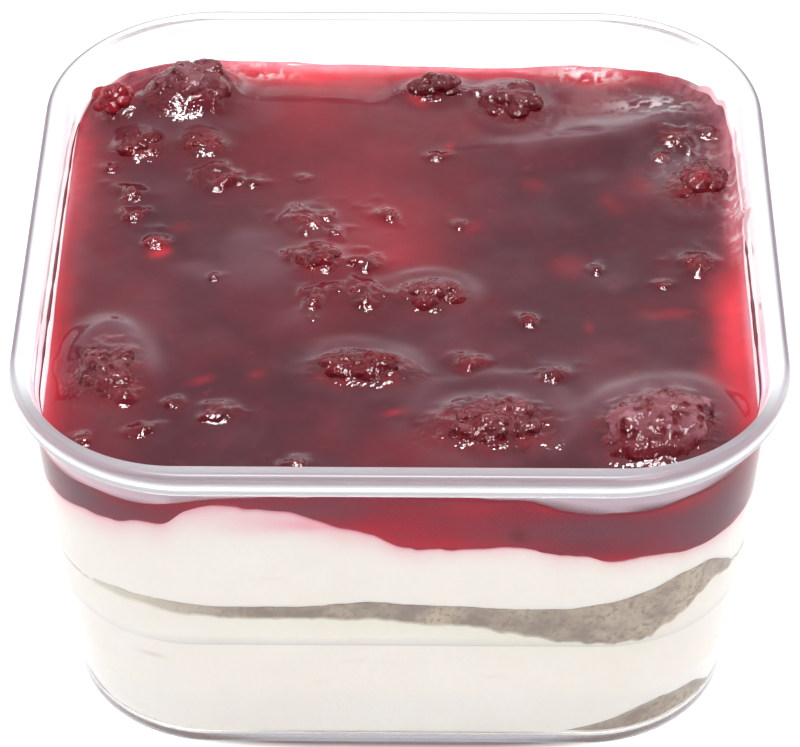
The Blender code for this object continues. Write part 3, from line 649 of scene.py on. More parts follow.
def jelly_height(x, y, share):
    """Height of the jelly's top: its level and swells, drawn at the wall to the measured line, with
    a rise against the wall and round each berry, puckered rings, the fold and slight waves."""
    at_wall = round_the_wall(JELLY_TOP, bearing(x, y))
    inside = JELLY_LEVEL + 0.0 * x
    for cx, cy, rise, spread in JELLY_SWELLS:
        inside = inside + rise * np.exp(-((x - cx) ** 2 + (y - cy) ** 2) / (2 * spread**2))
    pull = share**EDGE_SHARPNESS
    height = inside * (1 - pull) + at_wall * pull
    from_wall = (1 - share) * JELLY_HALF
    climb = 0.55 + 0.2 * lattice_noise(x, y, 0.0, 3.5, 61)
    film = wall_film(x, y) * (1 + 0.35 * lattice_noise(x, y, 0.0, 1.8, 63))
    height = height + (climb + 0.25 * film) * np.exp(-from_wall / 0.9)
    height = height + 0.75 * film * np.exp(-from_wall / 0.35)
    skin = over_berries(x, y)
    lumps, _ = over_scraps(x, y)
    height = height + skin["rise"] + lumps + 0.9 * skin["rugged"] * crumple(x, y, 6.0, 1.9, 17)
    for rise, noise, ring in pucker_rings(x, y, 1.7):
        height = height + 0.6 * rise * np.clip(0.75 + 1.3 * noise, 0, 1.5) * ring
    away, side = crest_distance(x, y)
    crest = np.where(side > 0, np.exp(-away / 3.0), hump(away, FOLD_WIDTH))
    wrinkle = 1 + 0.3 * lattice_noise(x, y, 4.0, 2.4, 83)
    height = height + FOLD_RISE * crest * wrinkle
    height = height + 0.3 * bells(x, y, GLINTS) * crumple(x, y, 8.0, 1.5, 19)
    waves = 0.10 * lattice_noise(x, y, 0.0, 11.0, 3) + 0.045 * lattice_noise(x, y, 1.0, 4.2, 5)
    fine = 0.012 * lattice_noise(x, y, 2.0, 1.5, 9) + 0.006 * lattice_noise(x, y, 3.0, 0.8, 11)
    return height + waves + fine


def pucker_rings(x, y, reach):
    """The puckered rings one by one: the ring's rise, the noise that breaks it up, and a bell over
    the distance from its line, as wide as the ring's width times a reach."""
    noise = lattice_noise(x, y, 2.0, 6.0, 71)
    for spot, radii, turn, rise, width in PUCKERS:
        out = ellipse_gauge(x, y, spot, radii, turn)
        yield rise, noise, hump((out - 1) * min(radii), reach * width)


def over_berries(x, y):
    """What the berries do to the jelly's skin, each as a bell over how far out a point lies, with 1
    on the berry's outline: the skin's rise, the flesh that shows through it with painted shade that
    makes it strongest on the front slope, the haze and painted sheen on it and behind it, and how
    rugged it is."""
    rise, flesh, haze, rugged = 0.0 * x, 0.0 * x, 0.0 * x, 0.0 * x
    for name, spot, middle, half, turn, _, _, film in BERRIES:
        out = ellipse_gauge(x, y, spot, half, turn)
        front = smooth_step((spot[1] - y) / half[1], -0.7, 0.5)
        standing = middle + half[2] - JELLY_LEVEL
        near = hump(np.maximum(out - 0.45, 0), 0.6)
        zone = hump(np.maximum(out - 0.75, 0), 0.3 + 0.15 * front)
        rise = rise + DRAPES.get(name, USUAL_DRAPE) * standing * near
        flesh = np.maximum(flesh, zone * (0.35 + 0.65 * front) * (1 - 0.3 * film))
        haze = haze + 0.3 * ((1 - front) * hump(out - 1.2, 0.3)) + 0.3 * film * zone
        rugged = np.maximum(rugged, zone * (1 - 0.4 * front) * RUGGED.get(name, USUAL_RUGGED))
    return {"rise": rise, "flesh": flesh, "haze": haze, "rugged": rugged}


def over_scraps(x, y):
    """Rise, and flesh with painted shade, of the small pieces of berry in the jelly: bells over how far
    out a point lies, bent and crumpled by noise, steeper at the front, and for the flesh flat-topped
    and stronger at the front as painted shade."""
    rise, flesh = 0.0 * x, 0.0 * x
    bend = 1 + 0.35 * lattice_noise(x, y, 0.0, 1.5, 301)
    lumpy = 1 + 0.4 * crumple(x, y, 0.0, 1.6, 311)
    for spot, half, standing, turn in SCRAPS:
        out = ellipse_gauge(x, y, spot, half, turn) * bend
        front = smooth_step(spot[1] - y, -0.6 * half[1], 0.6 * half[1])
        rise = rise + 1.1 * standing * hump(out, 1.1 - 0.25 * front, 2 + front) * lumpy
        flesh = np.maximum(flesh, (0.6 + 0.4 * front) * hump(out, 1.0, 4))
    return rise, flesh


def wall_film(x, y):
    """Rise of the film of jelly that clings to the wall, as bells over the bearing."""
    where = bearing(x, y)
    total = 0.0 * x
    for middle, width, rise in WALL_FILMS:
        total = total + rise * hump(where - middle, width)
    return total


def crest_distance(x, y):
    """Distance to the fold's crest line, and which side a point is on: positive at the back."""
    best = np.full(x.shape, 1e9)
    side = np.zeros(x.shape)
    for (ax, ay), (bx, by) in zip(FOLD_CREST, FOLD_CREST[1:]):
        run = np.array([bx - ax, by - ay])
        along = np.clip(((x - ax) * run[0] + (y - ay) * run[1]) / (run @ run), 0, 1)
        dx, dy = x - ax - along * run[0], y - ay - along * run[1]
        away = np.hypot(dx, dy)
        near = away < best
        best = np.where(near, away, best)
        side = np.where(near, run[0] * dy - run[1] * dx, side)
    return best, side


def jelly_marks(x, y, share):
    """Marks of the jelly's top: painted glow, haze with painted sheen and pale places as sums of spots
    broken up by noise, the flesh of the berries and scraps with painted shade at their fronts, lumps
    where it is wet and white threads of painted glints on its froth."""
    inner = smooth_step(42.0 - np.maximum(np.abs(x), np.abs(y)), 1.0, 9.0)

    def bent(axis, level, seed):
        """A coordinate moved about by coarse noise, less near the wall, and by fine noise."""
        coarse = lattice_noise(x, y, level, 5.0, seed)
        return axis + inner * 1.2 * coarse + 0.3 * lattice_noise(x, y, 0.0, 1.6, seed + 6)

    bent_x, bent_y = bent(x, 0.0, 31), bent(y, 5.0, 33)
    glow, haze, pale = bells(bent_x, bent_y, GLOWS), bells(bent_x, bent_y, HAZES), bells(x, y, PALES)
    edge = np.exp(-(1 - share) * JELLY_HALF)
    smeared = edge * np.clip(wall_film(x, y), 0, 1)
    streaks = 0.5 + 0.5 * crumple(x, y, 0.0, 1.3, 67)
    skin = over_berries(x, y)
    _, scrap = over_scraps(x, y)
    # Painted sheen: paler rings behind the berries, along the puckered rings and along the fold's crest.
    halo = skin["haze"] * np.clip(0.55 + 1.2 * layered_noise(x, y, 7.0, 3.2, 2, 77), 0, 1)
    away, _ = crest_distance(x, y)
    halo = halo + 0.5 * hump(away, 1.2) * np.clip(0.7 + lattice_noise(x, y, 8.0, 2.2, 85), 0, 1)
    for _, noise, ring in pucker_rings(x, y, 1.5):
        halo = halo + 0.3 * np.clip(0.5 + 1.2 * noise, 0, 1) * ring
    cloud = 0.17 * np.clip(layered_noise(x, y, 9.0, 6.0, 4, 79), 0, 1)
    warm = 0.05 * np.clip(layered_noise(x, y, 3.0, 8.0, 3, 73), 0, 1)
    patchy = np.clip(0.75 + 0.5 * lattice_noise(x, y, 9.0, 1.4, 81), 0, 1)
    flesh = np.maximum(skin["flesh"], scrap) * patchy
    threads = smooth_step(crumple(x, y, 8.0, 1.4, 87), 0.25, 0.6)
    return {
        "glow": np.clip(glow + warm + 0.1 * edge + 0.2 * smeared, 0, 1),
        "haze": np.clip(haze + halo + cloud + smeared * streaks, 0, 1),
        "pale": np.clip(pale * (0.8 + 0.4 * streaks) + 0.5 * smeared * (1 - streaks), 0, 1),
        "flesh": np.clip(flesh, 0, 1),
        "lumps": np.clip(np.maximum(flesh, bells(x, y, WET_SPOTS)), 0, 1),
        "froth": np.clip(bells(x, y, FROTHS) * threads, 0, 1),
    }


def jelly_side_marks(x, y, heights, foot):
    """Marks of the jelly's side: painted glow where it thins out above the cream's line, haze with
    painted sheen, the patches against the front wall and the sunk scrap."""
    patchy = layered_noise(x, y, heights, 9.0, 3, 41)
    thinning = np.exp(-(heights - foot[None]) / 0.8)
    in_front = smooth_step(-y, 3, 20)
    glowing, hazed = 0.0, 0.0
    for *spot, bright, mist in SIDE_PATCHES:
        patch = bell(x + 1.5 * patchy, heights, spot) * in_front
        glowing, hazed = glowing + bright * patch, hazed + mist * patch
    cloudy = layered_noise(x, y, heights * 2, 12.0, 3, 43)
    return {
        "glow": np.clip(0.12 + 0.10 * patchy + 0.12 * thinning + glowing, 0.02, 0.7),
        "haze": np.clip(0.22 + 0.25 * cloudy + hazed - 0.5 * glowing, 0, 1),
        "flesh": 0.6 * bell(x, heights, SUNK_SCRAP) * in_front,
    }


def jelly_topping():
    """The jelly: a square grid whose outer lines bend to the cup's outline, lifted to the jelly's
    height, a side down the wall to the cream's line, and a flat underside."""
    cells = TOP_CELLS
    u, v = np.meshgrid(np.linspace(-1, 1, cells + 1), np.linspace(-1, 1, cells + 1))
    out = np.maximum(np.abs(u), np.abs(v))
    half = inner_half(JELLY_LEVEL) + JELLY_REACH
    radius = inner_corner(half)
    angle = np.arctan2(v, u)
    direction = (np.cos(angle), np.sin(angle))
    edge = 1 / square_gauge(direction[0], direction[1], half, radius)
    blend = out**3
    safe = np.where(out > 0, out, 1.0)
    x = (1 - blend) * u * half + blend * direction[0] * edge * safe
    y = (1 - blend) * v * half + blend * direction[1] * edge * safe
    share = np.clip(square_gauge(x, y, half, radius), 0, 1)
    top = jelly_height(x, y, share)
    around = 4 * cells
    count = (cells + 1) ** 2
    index = np.arange(count).reshape(cells + 1, cells + 1)
    quads = np.stack([index[:-1, :-1], index[:-1, 1:], index[1:, 1:], index[1:, :-1]], -1).reshape(-1, 4)
    border = np.concatenate([index[0, :-1], index[:-1, -1], index[-1, :0:-1], index[:0:-1, 0]])
    edge_x, edge_y, edge_z = (grid.ravel()[border] for grid in (x, y, top))
    where = bearing(edge_x, edge_y)
    foot = round_the_wall(CREAM_TOP, where) + ragged(where, 0.16, 2.2, 51)
    rows = 12
    shares = np.linspace(0, 1, rows + 1)[1:, None]
    heights = edge_z[None] + (foot - edge_z)[None] * shares
    shrink = (inner_half(heights) + JELLY_REACH) / half
    sides = np.stack([edge_x[None] * shrink, edge_y[None] * shrink, heights], axis=-1)
    inward = np.array([0.97, 0.8, 0.4])[:, None]
    last = sides[-1]
    level = CREAM_LEVEL - 0.5
    under = np.stack([
        last[None, :, 0] * inward,
        last[None, :, 1] * inward,
        last[None, :, 2] + (level - last[None, :, 2]) * (1 - inward**4) - 0.15,
    ], axis=-1)
    points = np.vstack([
        np.stack([x.ravel(), y.ravel(), top.ravel()], -1),
        sides.reshape(-1, 3), under.reshape(-1, 3), [[0.0, 0.0, level]],
    ])
    rings = np.vstack([border[None], count + np.arange((rows + 3) * around).reshape(rows + 3, around)])
    upper, lower = rings[:-1], rings[1:]
    walls = np.stack([
        upper, lower, np.roll(lower, -1, axis=1), np.roll(upper, -1, axis=1)
    ], axis=-1).reshape(-1, 4)
    tip = len(points) - 1
    fan = np.stack([rings[-1], np.full(around, tip), np.roll(rings[-1], -1)], axis=-1)
    side = (rows, around)
    side_marks = jelly_side_marks(
        np.broadcast_to(edge_x, side), np.broadcast_to(edge_y, side), heights, foot
    )
    marks = {
        name: np.concatenate([
            values.ravel(), side_marks.get(name, np.zeros(side)).ravel(), np.zeros(3 * around + 1)
        ])
        for name, values in jelly_marks(x, y, share).items()
    }
    made = write_mesh("jelly_topping", points, [quads, walls, fan], marks)
    pressed = np.concatenate([np.zeros(len(quads)), np.ones(len(walls) + len(fan))])
    made.data.polygons.foreach_set("material_index", pressed.astype(np.int32))
    return made


def wall_line(name, heights, thick, tall):
    """A thin line of jelly left on the wall: a flat tube along the inner wall through (bearing,
    height) points, its section an ellipse that shrinks to nothing at both ends."""
    bearings, levels = np.array(heights).T
    where = np.linspace(bearings[0], bearings[-1], 160)
    level = np.interp(where, bearings, levels)
    level = level + 0.12 * lattice_noise(where, 0.0, 0.0, 4.0, 97)
    half = inner_half(level)
    cos, sin = np.cos(np.radians(where)), np.sin(np.radians(where))
    gauge = square_gauge(cos, sin, half, inner_corner(half))
    path = np.stack([cos / gauge, sin / gauge, level], axis=-1)
    run = np.gradient(path, axis=0) * [1, 1, 0]
    run = run / np.linalg.norm(run, axis=1)[:, None]
    outward = np.stack([run[:, 1], -run[:, 0], 0 * level], axis=-1)
    share = np.linspace(0, 1, len(where))
    swell = np.sqrt(np.clip(4 * share * (1 - share), 0.0004, 1)) ** 0.5
    swell = swell * (1 + 0.4 * lattice_noise(where, 0.0, 5.0, 2.5, 99))
    turn = np.linspace(0, 2 * math.pi, 12, endpoint=False)
    across = outward[:, None] * (thick * swell[:, None] * np.sin(turn))[..., None]
    rings = path[:, None] + across
    rings[..., 2] += tall * swell[:, None] * np.cos(turn)
    level_mark = np.full(rings.shape[:2], 1.0)
    return ring_solid(name, rings, {"glow": 0.12 * level_mark, "haze": 0.3 * level_mark})


def spread_directions(count, seed):
    """Unit directions spread evenly over a sphere by the golden angle, each nudged a little."""
    draw = np.random.default_rng(seed)
    index = np.arange(count) + 0.5
    up = 1 - 2 * index / count
    turn = math.pi * (1 + math.sqrt(5)) * index
    flat = np.sqrt(1 - up**2)
    found = np.column_stack([flat * np.cos(turn), flat * np.sin(turn), up])
    found += draw.normal(0, 0.16, found.shape)
    return found / np.linalg.norm(found, axis=1)[:, None]


def drupelet_surface(steps, count, filled, seed, depth=0.76, sharp=30.0):
    """Unit berry as a ball (rows, around, 3): along each direction the surface lies where it leaves
    the farthest of the drupelets' balls, softly merged with a core that fills the creases."""
    around, rows = steps
    tilt = np.linspace(0.012, math.pi - 0.012, rows)[::-1][:, None]
    turn = np.linspace(0, 2 * math.pi, around, endpoint=False)[None, :]
    direction = np.stack(np.broadcast_arrays(
        np.sin(tilt) * np.cos(turn), np.sin(tilt) * np.sin(turn), np.cos(tilt)), axis=-1)
    middles = spread_directions(count, seed) * depth
    draw = np.random.default_rng(seed + 100)
    radii = 2.15 / math.sqrt(count) * draw.uniform(0.72, 1.18, count)
    radii = np.minimum(radii, 0.62)
    ahead = direction @ middles.T
    beside = radii**2 - (depth**2 - ahead**2)
    leave = np.where(beside > 0, ahead + np.sqrt(np.maximum(beside, 0)), 0.0)
    total = np.exp(sharp * (leave - 1)).sum(axis=-1) + math.exp(sharp * (filled - 1))
    reach = 1 + np.log(total) / sharp
    surface = direction * reach[..., None]
    return surface / np.abs(surface).max(axis=(0, 1)), reach / reach.max()


def berry_points(spot, middle, half, turn, steps, count, filled, seed, wrinkle):
    """A drupelet surface stretched to its half sizes, turned about Z, moved to its place and
    crumpled outwards by ridges and waves."""
    surface, reach = drupelet_surface(steps, count, filled, seed)
    points = surface * np.array(half)
    cos, sin = math.cos(math.radians(turn)), math.sin(math.radians(turn))
    x = points[..., 0] * cos - points[..., 1] * sin + spot[0]
    y = points[..., 0] * sin + points[..., 1] * cos + spot[1]
    z = points[..., 2] + middle
    rough = wrinkle * (
        0.9 * crumple(x, y, z, 1.9, seed) + 1.2 * lattice_noise(x, y, z, 2.8, seed + 9)
        + 0.5 * lattice_noise(x, y, z, 0.9, seed + 11)
    )
    length = np.sqrt((points**2).sum(axis=-1))
    grow = 1 + rough / length
    x, y = spot[0] + (x - spot[0]) * grow, spot[1] + (y - spot[1]) * grow
    z = middle + (z - middle) * grow
    return np.stack([x, y, z], axis=-1), reach


def berries(material):
    """The raspberries that stand out of the jelly, each in place of its node."""
    for number, (name, spot, middle, half, turn, count, filled, film) in enumerate(BERRIES):
        steps = BERRY_STEPS if half[0] > 5 else SMALL_BERRY_STEPS
        rings, reach = berry_points(
            spot, middle, half, turn, steps, count, filled, 40 + number, RUGGED.get(name, USUAL_RUGGED)
        )
        bright = BRIGHT.get(name, USUAL_BRIGHT)
        # Painted shade in the creases between the drupelets, less on the brighter berries.
        crease = (0.6 - 0.5 * bright) * (1 - smooth_step(reach, filled - 0.02, 0.985))
        x, y, z = rings[..., 0], rings[..., 1], rings[..., 2]
        cloud = crumple(x, y, z, 1.5, 500 + number)
        # The pale film on the top and back side, partly a painted sheen, mottled by noise.
        upper = smooth_step(z - middle + 0.45 * (y - spot[1]), -0.1 * half[2], 0.6 * half[2])
        veil = 0.8 * film * upper * smooth_step(cloud, 0.2 - film, 0.75 - 0.6 * film) * (1 - 0.7 * crease)
        light = bright * (1 + 0.6 * lattice_noise(x, y, z, 2.2, 520 + number))
        # Painted shade low down where the berry meets the jelly, reaching higher towards the back.
        low = 0.5 * half[2] - 0.35 * (spot[1] - y)
        crease = np.maximum(crease, 0.9 * (1 - smooth_step(z - JELLY_LEVEL, low - 0.9, low + 0.3)))
        marks = {"crease": crease, "film": veil, "glow": np.clip(light * (1 - 0.6 * crease), 0, 1)}
        made = ring_solid("raspberry_" + name, rings, marks)
        finish_piece(made, material, "berry", "berry_" + name)


class Nodes:
    """A node tree, and short calls for what is put in it."""

    def __init__(self, tree):
        self.tree = tree

    def new(self, kind):
        return self.tree.nodes.new("ShaderNode" + kind)

    def link(self, source, target):
        self.tree.links.new(source, target)

    def feed(self, value, target):
        """Sets a socket to a value, with an opaque alpha for a colour, or links another socket to it."""
        if isinstance(value, bpy.types.NodeSocket):
            self.link(value, target)
        else:
            target.default_value = (*value, 1) if isinstance(value, tuple) else value

    def mix(self, factor, low, high):
        """Colour between two colours by a factor."""
        node = self.new("Mix")
        node.data_type = "RGBA"
        for value, slot in ((factor, "Factor"), (low, 6), (high, 7)):
            self.feed(value, node.inputs[slot])
        return node.outputs[2]

    def maths(self, kind, left, right):
        """Sum, product or other result of two values, held between 0 and 1."""
        node = self.new("Math")
        node.operation = kind
        node.use_clamp = True
        self.feed(left, node.inputs[0])
        self.feed(right, node.inputs[1])
        return node.outputs[0]

    def ramp(self, source, low, high, start=0.0, end=1.0):
        """Straight ramp of a value, from start at low to end at high."""
        node = self.new("MapRange")
        steps = {"Value": source, "From Min": low, "From Max": high, "To Min": start, "To Max": end}
        for key, value in steps.items():
            self.feed(value, node.inputs[key])
        return node.outputs["Result"]


class NoiseGroup(Nodes):
    """A node group with named inputs and outputs, and in it a noise over the object that takes its
    scale from an input. An input's value is None for a colour."""

    def __init__(self, name, inputs, outputs):
        super().__init__(bpy.data.node_groups.new(name, "ShaderNodeTree"))
        sockets = self.tree.interface
        for key, value in inputs.items():
            kind = "NodeSocketColor" if value is None else "NodeSocketFloat"
            made = sockets.new_socket(key, in_out="INPUT", socket_type=kind)
            if value is not None:
                made.default_value = value
        for key, kind in outputs.items():
            sockets.new_socket(key, in_out="OUTPUT", socket_type="NodeSocket" + kind)
        self.given = self.tree.nodes.new("NodeGroupInput").outputs
        self.put = self.tree.nodes.new("NodeGroupOutput").inputs
        self.noise = self.new("TexNoise")
        self.link(self.new("TexCoord").outputs["Object"], self.noise.inputs["Vector"])
        self.link(self.given["Scale"], self.noise.inputs["Scale"])


def mottle_group():
    """Group: two colours mixed by cloudy noise. Outputs the colour and the noise's mask."""
    made = NoiseGroup(
        "mottle", {"Light": None, "Dark": None, "Scale": 200.0, "Low": 0.35, "High": 0.65},
        {"Colour": "Color", "Mask": "Float"},
    )
    made.noise.inputs["Detail"].default_value = 4.0
    made.noise.inputs["Roughness"].default_value = 0.6
    level = made.ramp(made.noise.outputs["Fac"], made.given["Low"], made.given["High"])
    made.link(made.mix(level, made.given["Dark"], made.given["Light"]), made.put["Colour"])
    made.link(level, made.put["Mask"])
    return made.tree


def relief_group():
    """Group: fine unevenness of a surface. Outputs a normal."""
    made = NoiseGroup(
        "fine_relief", {"Scale": 2000.0, "Detail": 2.0, "Strength": 0.2, "Depth": 0.0001},
        {"Normal": "Vector"},
    )
    bump = made.new("Bump")
    made.link(made.given["Detail"], made.noise.inputs["Detail"])
    made.link(made.noise.outputs["Fac"], bump.inputs["Height"])
    made.link(made.given["Strength"], bump.inputs["Strength"])
    made.link(made.given["Depth"], bump.inputs["Distance"])
    made.link(bump.outputs["Normal"], made.put["Normal"])
    return made.tree


def lumps_group():
    """Group: height of small wet lumps, as noise times an amount."""
    made = NoiseGroup("wet_lumps", {"Scale": 1500.0, "Amount": 1.0}, {"Height": "Float"})
    made.noise.inputs["Detail"].default_value = 1.5
    times = made.new("Math")
    times.operation = "MULTIPLY"
    made.link(made.noise.outputs["Fac"], times.inputs[0])
    made.link(made.given["Amount"], times.inputs[1])
    made.link(times.outputs[0], made.put["Height"])
    return made.tree


class Finish(Nodes):
    """A material with a Principled shader, and short calls for what feeds it."""

    def __init__(self, name, **sockets):
        self.material = bpy.data.materials.new(name)
        self.material.use_nodes = True
        super().__init__(self.material.node_tree)
        self.shader = self.tree.nodes["Principled BSDF"]
        for key, value in sockets.items():
            self.shader.inputs[key.replace("_", " ")].default_value = value

    def group(self, tree, **values):
        node = self.new("Group")
        node.node_tree = tree
        for key, value in values.items():
            self.feed(value, node.inputs[key])
        return node

    def mark(self, name):
        node = self.new("Attribute")
        node.attribute_name = name
        return node.outputs["Fac"]

    def washed(self, colour, **tints):
        """A colour with others laid over it in turn, each where the mark of its name is strong."""
        for name, tint in tints.items():
            colour = self.mix(self.mark(name), colour, tint)
        return colour

    def lumpy(self, wet, amount, relief):
        """Wet lumps of an amount over the fine relief."""
        fine = self.group(relief, Scale=700.0, Detail=2.0, Strength=0.06, Depth=0.0002)
        lumps = self.group(wet, Scale=1250.0, Amount=amount)
        bump = self.new("Bump")
        bump.inputs["Distance"].default_value = 0.00045
        self.link(lumps.outputs["Height"], bump.inputs["Height"])
        self.link(fine.outputs["Normal"], bump.inputs["Normal"])
        self.normal(bump)

    def colour(self, source):
        self.link(source, self.shader.inputs["Base Color"])

    def emission(self, source):
        self.link(source, self.shader.inputs["Emission Color"])

    def normal(self, node):
        self.link(node.outputs["Normal"], self.shader.inputs["Normal"])


def let_lamps_through(made, tint):
    """Adds what lets rays from lamps and from matt surfaces pass straight through clear plastic."""
    rays = made.new("LightPath")
    through = made.new("BsdfTransparent")
    through.inputs["Color"].default_value = (*tint, 1)
    mixed = made.new("MixShader")
    either = made.maths("MAXIMUM", rays.outputs["Is Shadow Ray"], rays.outputs["Is Diffuse Ray"])
    made.link(either, mixed.inputs[0])
    made.link(made.shader.outputs[0], mixed.inputs[1])
    made.link(through.outputs[0], mixed.inputs[2])
    made.link(mixed.outputs[0], made.tree.nodes["Material Output"].inputs["Surface"])


def clear_plastic(relief):
    """Moulded clear plastic with faint waves in its faces, a painted bluish dark line at its step and
    painted light on the inner wall above the jelly.
    """
    made = Finish(
        "clear_plastic", Roughness=0.015, IOR=1.25, Transmission_Weight=1.0, Emission_Strength=1.0
    )
    made.colour(made.washed((0.975, 0.98, 0.99), step=(0.27, 0.32, 0.48)))
    made.emission(made.washed(BLACK, fog=(0.40, 0.37, 0.42), frost=(0.5, 0.47, 0.48)))
    made.normal(made.group(relief, Scale=55.0, Detail=1.0, Strength=0.12, Depth=0.0004))
    let_lamps_through(made, (0.96, 0.965, 0.97))
    return made.material


def rim_plastic():
    """The thick rim, kept pale by a painted glow for its many inner reflections: grey in front with a
    painted pinkish grey band for the jelly seen through it and a painted white highlight and glow on
    the bead, and white elsewhere with a painted bluish shade at the sides and a painted dark pinkish
    grey shade along its outer edge."""
    made = Finish(
        "rim_plastic", Roughness=0.38, IOR=1.4, Transmission_Weight=0.5, Emission_Strength=1.0
    )
    made.colour(made.washed(
        (0.97, 0.97, 0.98), front=(0.38, 0.365, 0.39), band=(0.33, 0.235, 0.265),
        bead=(0.97, 0.98, 1.0), shade=(0.62, 0.66, 0.72), outline=(0.13, 0.085, 0.11),
    ))
    made.emission(made.washed((0.2, 0.2, 0.205), front=BLACK, bead=(0.45, 0.47, 0.48), shade=BLACK))
    let_lamps_through(made, (0.85, 0.85, 0.87))
    return made.material


def cream(mottle, relief):
    """Whipped cream, warm white, pink where the jelly bleeds into it and buff where syrup soaks it, with
    painted shade in its slits and hollows.
    """
    made = Finish(
        "whipped_cream", Roughness=0.6, Specular_IOR_Level=0.0, Subsurface_Weight=0.25,
        Subsurface_Radius=(1.0, 0.7, 0.5), Subsurface_Scale=0.0015,
    )
    body = made.group(
        mottle, Light=(0.885, 0.835, 0.775), Dark=(0.86, 0.80, 0.73), Scale=90.0, Low=0.3, High=0.7
    )
    made.colour(made.washed(
        body.outputs["Colour"], bleed=(0.86, 0.44, 0.49), stain=(0.55, 0.10, 0.15),
        soak=(0.83, 0.80, 0.68), slit=(0.62, 0.50, 0.42),
    ))
    made.normal(made.group(relief, Scale=900.0, Detail=3.0, Strength=0.25, Depth=0.0002))
    return made.material


def sponge(mottle, relief):
    """Soaked sponge: grey-brown crumb with paler and darker pores, paler at the soaked edge."""
    made = Finish("soaked_sponge", Roughness=0.8, Specular_IOR_Level=0.0)
    body = made.group(
        mottle, Light=(0.52, 0.43, 0.34), Dark=(0.30, 0.245, 0.21), Scale=190.0, Low=0.36, High=0.64
    )
    crumb = made.group(mottle, Light=WHITE, Dark=BLACK, Scale=1500.0, Low=0.34, High=0.5)
    pores = made.mix(crumb.outputs["Mask"], (0.30, 0.24, 0.20), body.outputs["Colour"])
    made.colour(made.washed(pores, edge=(0.78, 0.72, 0.60)))
    made.normal(made.group(relief, Scale=1400.0, Detail=3.0, Strength=0.6, Depth=0.0004))
    return made.material


def jelly(mottle, relief, wet, name, gloss, light, dark):
    """Raspberry jelly: deep red, with a bright painted glow where it is thin and lit through the wall, a
    haze that is partly a painted sheen, painted shade in the berry flesh before the berries, painted
    glints on its froth, and a wet gloss where it is bare and none where it is pressed to the cup."""
    made = Finish(
        name, Roughness=0.07, IOR=1.42, Specular_IOR_Level=gloss, Subsurface_Weight=0.15,
        Subsurface_Radius=(1.0, 0.12, 0.12), Subsurface_Scale=0.002,
    )
    deep = made.group(mottle, Light=light, Dark=dark, Scale=75.0, Low=0.32, High=0.68)
    specks = made.group(mottle, Light=WHITE, Dark=BLACK, Scale=420.0, Low=0.62, High=0.72)
    speck_share = made.maths("MULTIPLY", specks.outputs["Mask"], 0.35)
    flesh = made.group(
        mottle, Light=(0.23, 0.008, 0.016), Dark=(0.09, 0.004, 0.008), Scale=320.0, Low=0.36, High=0.64
    )
    made.colour(made.washed(
        made.mix(speck_share, deep.outputs["Colour"], (0.2, 0.02, 0.03)), glow=(0.82, 0.028, 0.05),
        haze=(0.165, 0.07, 0.09), pale=(0.85, 0.33, 0.40), flesh=flesh.outputs["Colour"],
        froth=(0.95, 0.85, 0.86),
    ))
    made.lumpy(wet, made.mark("lumps"), relief)
    return made.material


def berry(mottle, relief, wet):
    """Raspberry flesh under a glaze of jelly: brighter drupelets with deep red painted shade in the
    creases and low down, matt and less lumpy under the pale film, which on the top and back is partly
    a painted sheen."""
    made = Finish(
        "raspberry_flesh", IOR=1.42, Specular_IOR_Level=0.27, Subsurface_Weight=0.15,
        Subsurface_Radius=(1.0, 0.15, 0.15), Subsurface_Scale=0.0012,
    )
    body = made.group(
        mottle, Light=(0.205, 0.007, 0.014), Dark=(0.085, 0.004, 0.008), Scale=260.0, Low=0.34,
        High=0.68,
    )
    made.colour(made.washed(
        body.outputs["Colour"], glow=(0.6, 0.025, 0.045), crease=(0.10, 0.004, 0.008),
        film=(0.37, 0.14, 0.175),
    ))
    made.link(made.ramp(made.mark("film"), 0.0, 1.0, 0.09, 0.3), made.shader.inputs["Roughness"])
    lumps = made.maths("SUBTRACT", 1.0, made.maths("MULTIPLY", made.mark("film"), 0.7))
    made.lumpy(wet, lumps, relief)
    return made.material


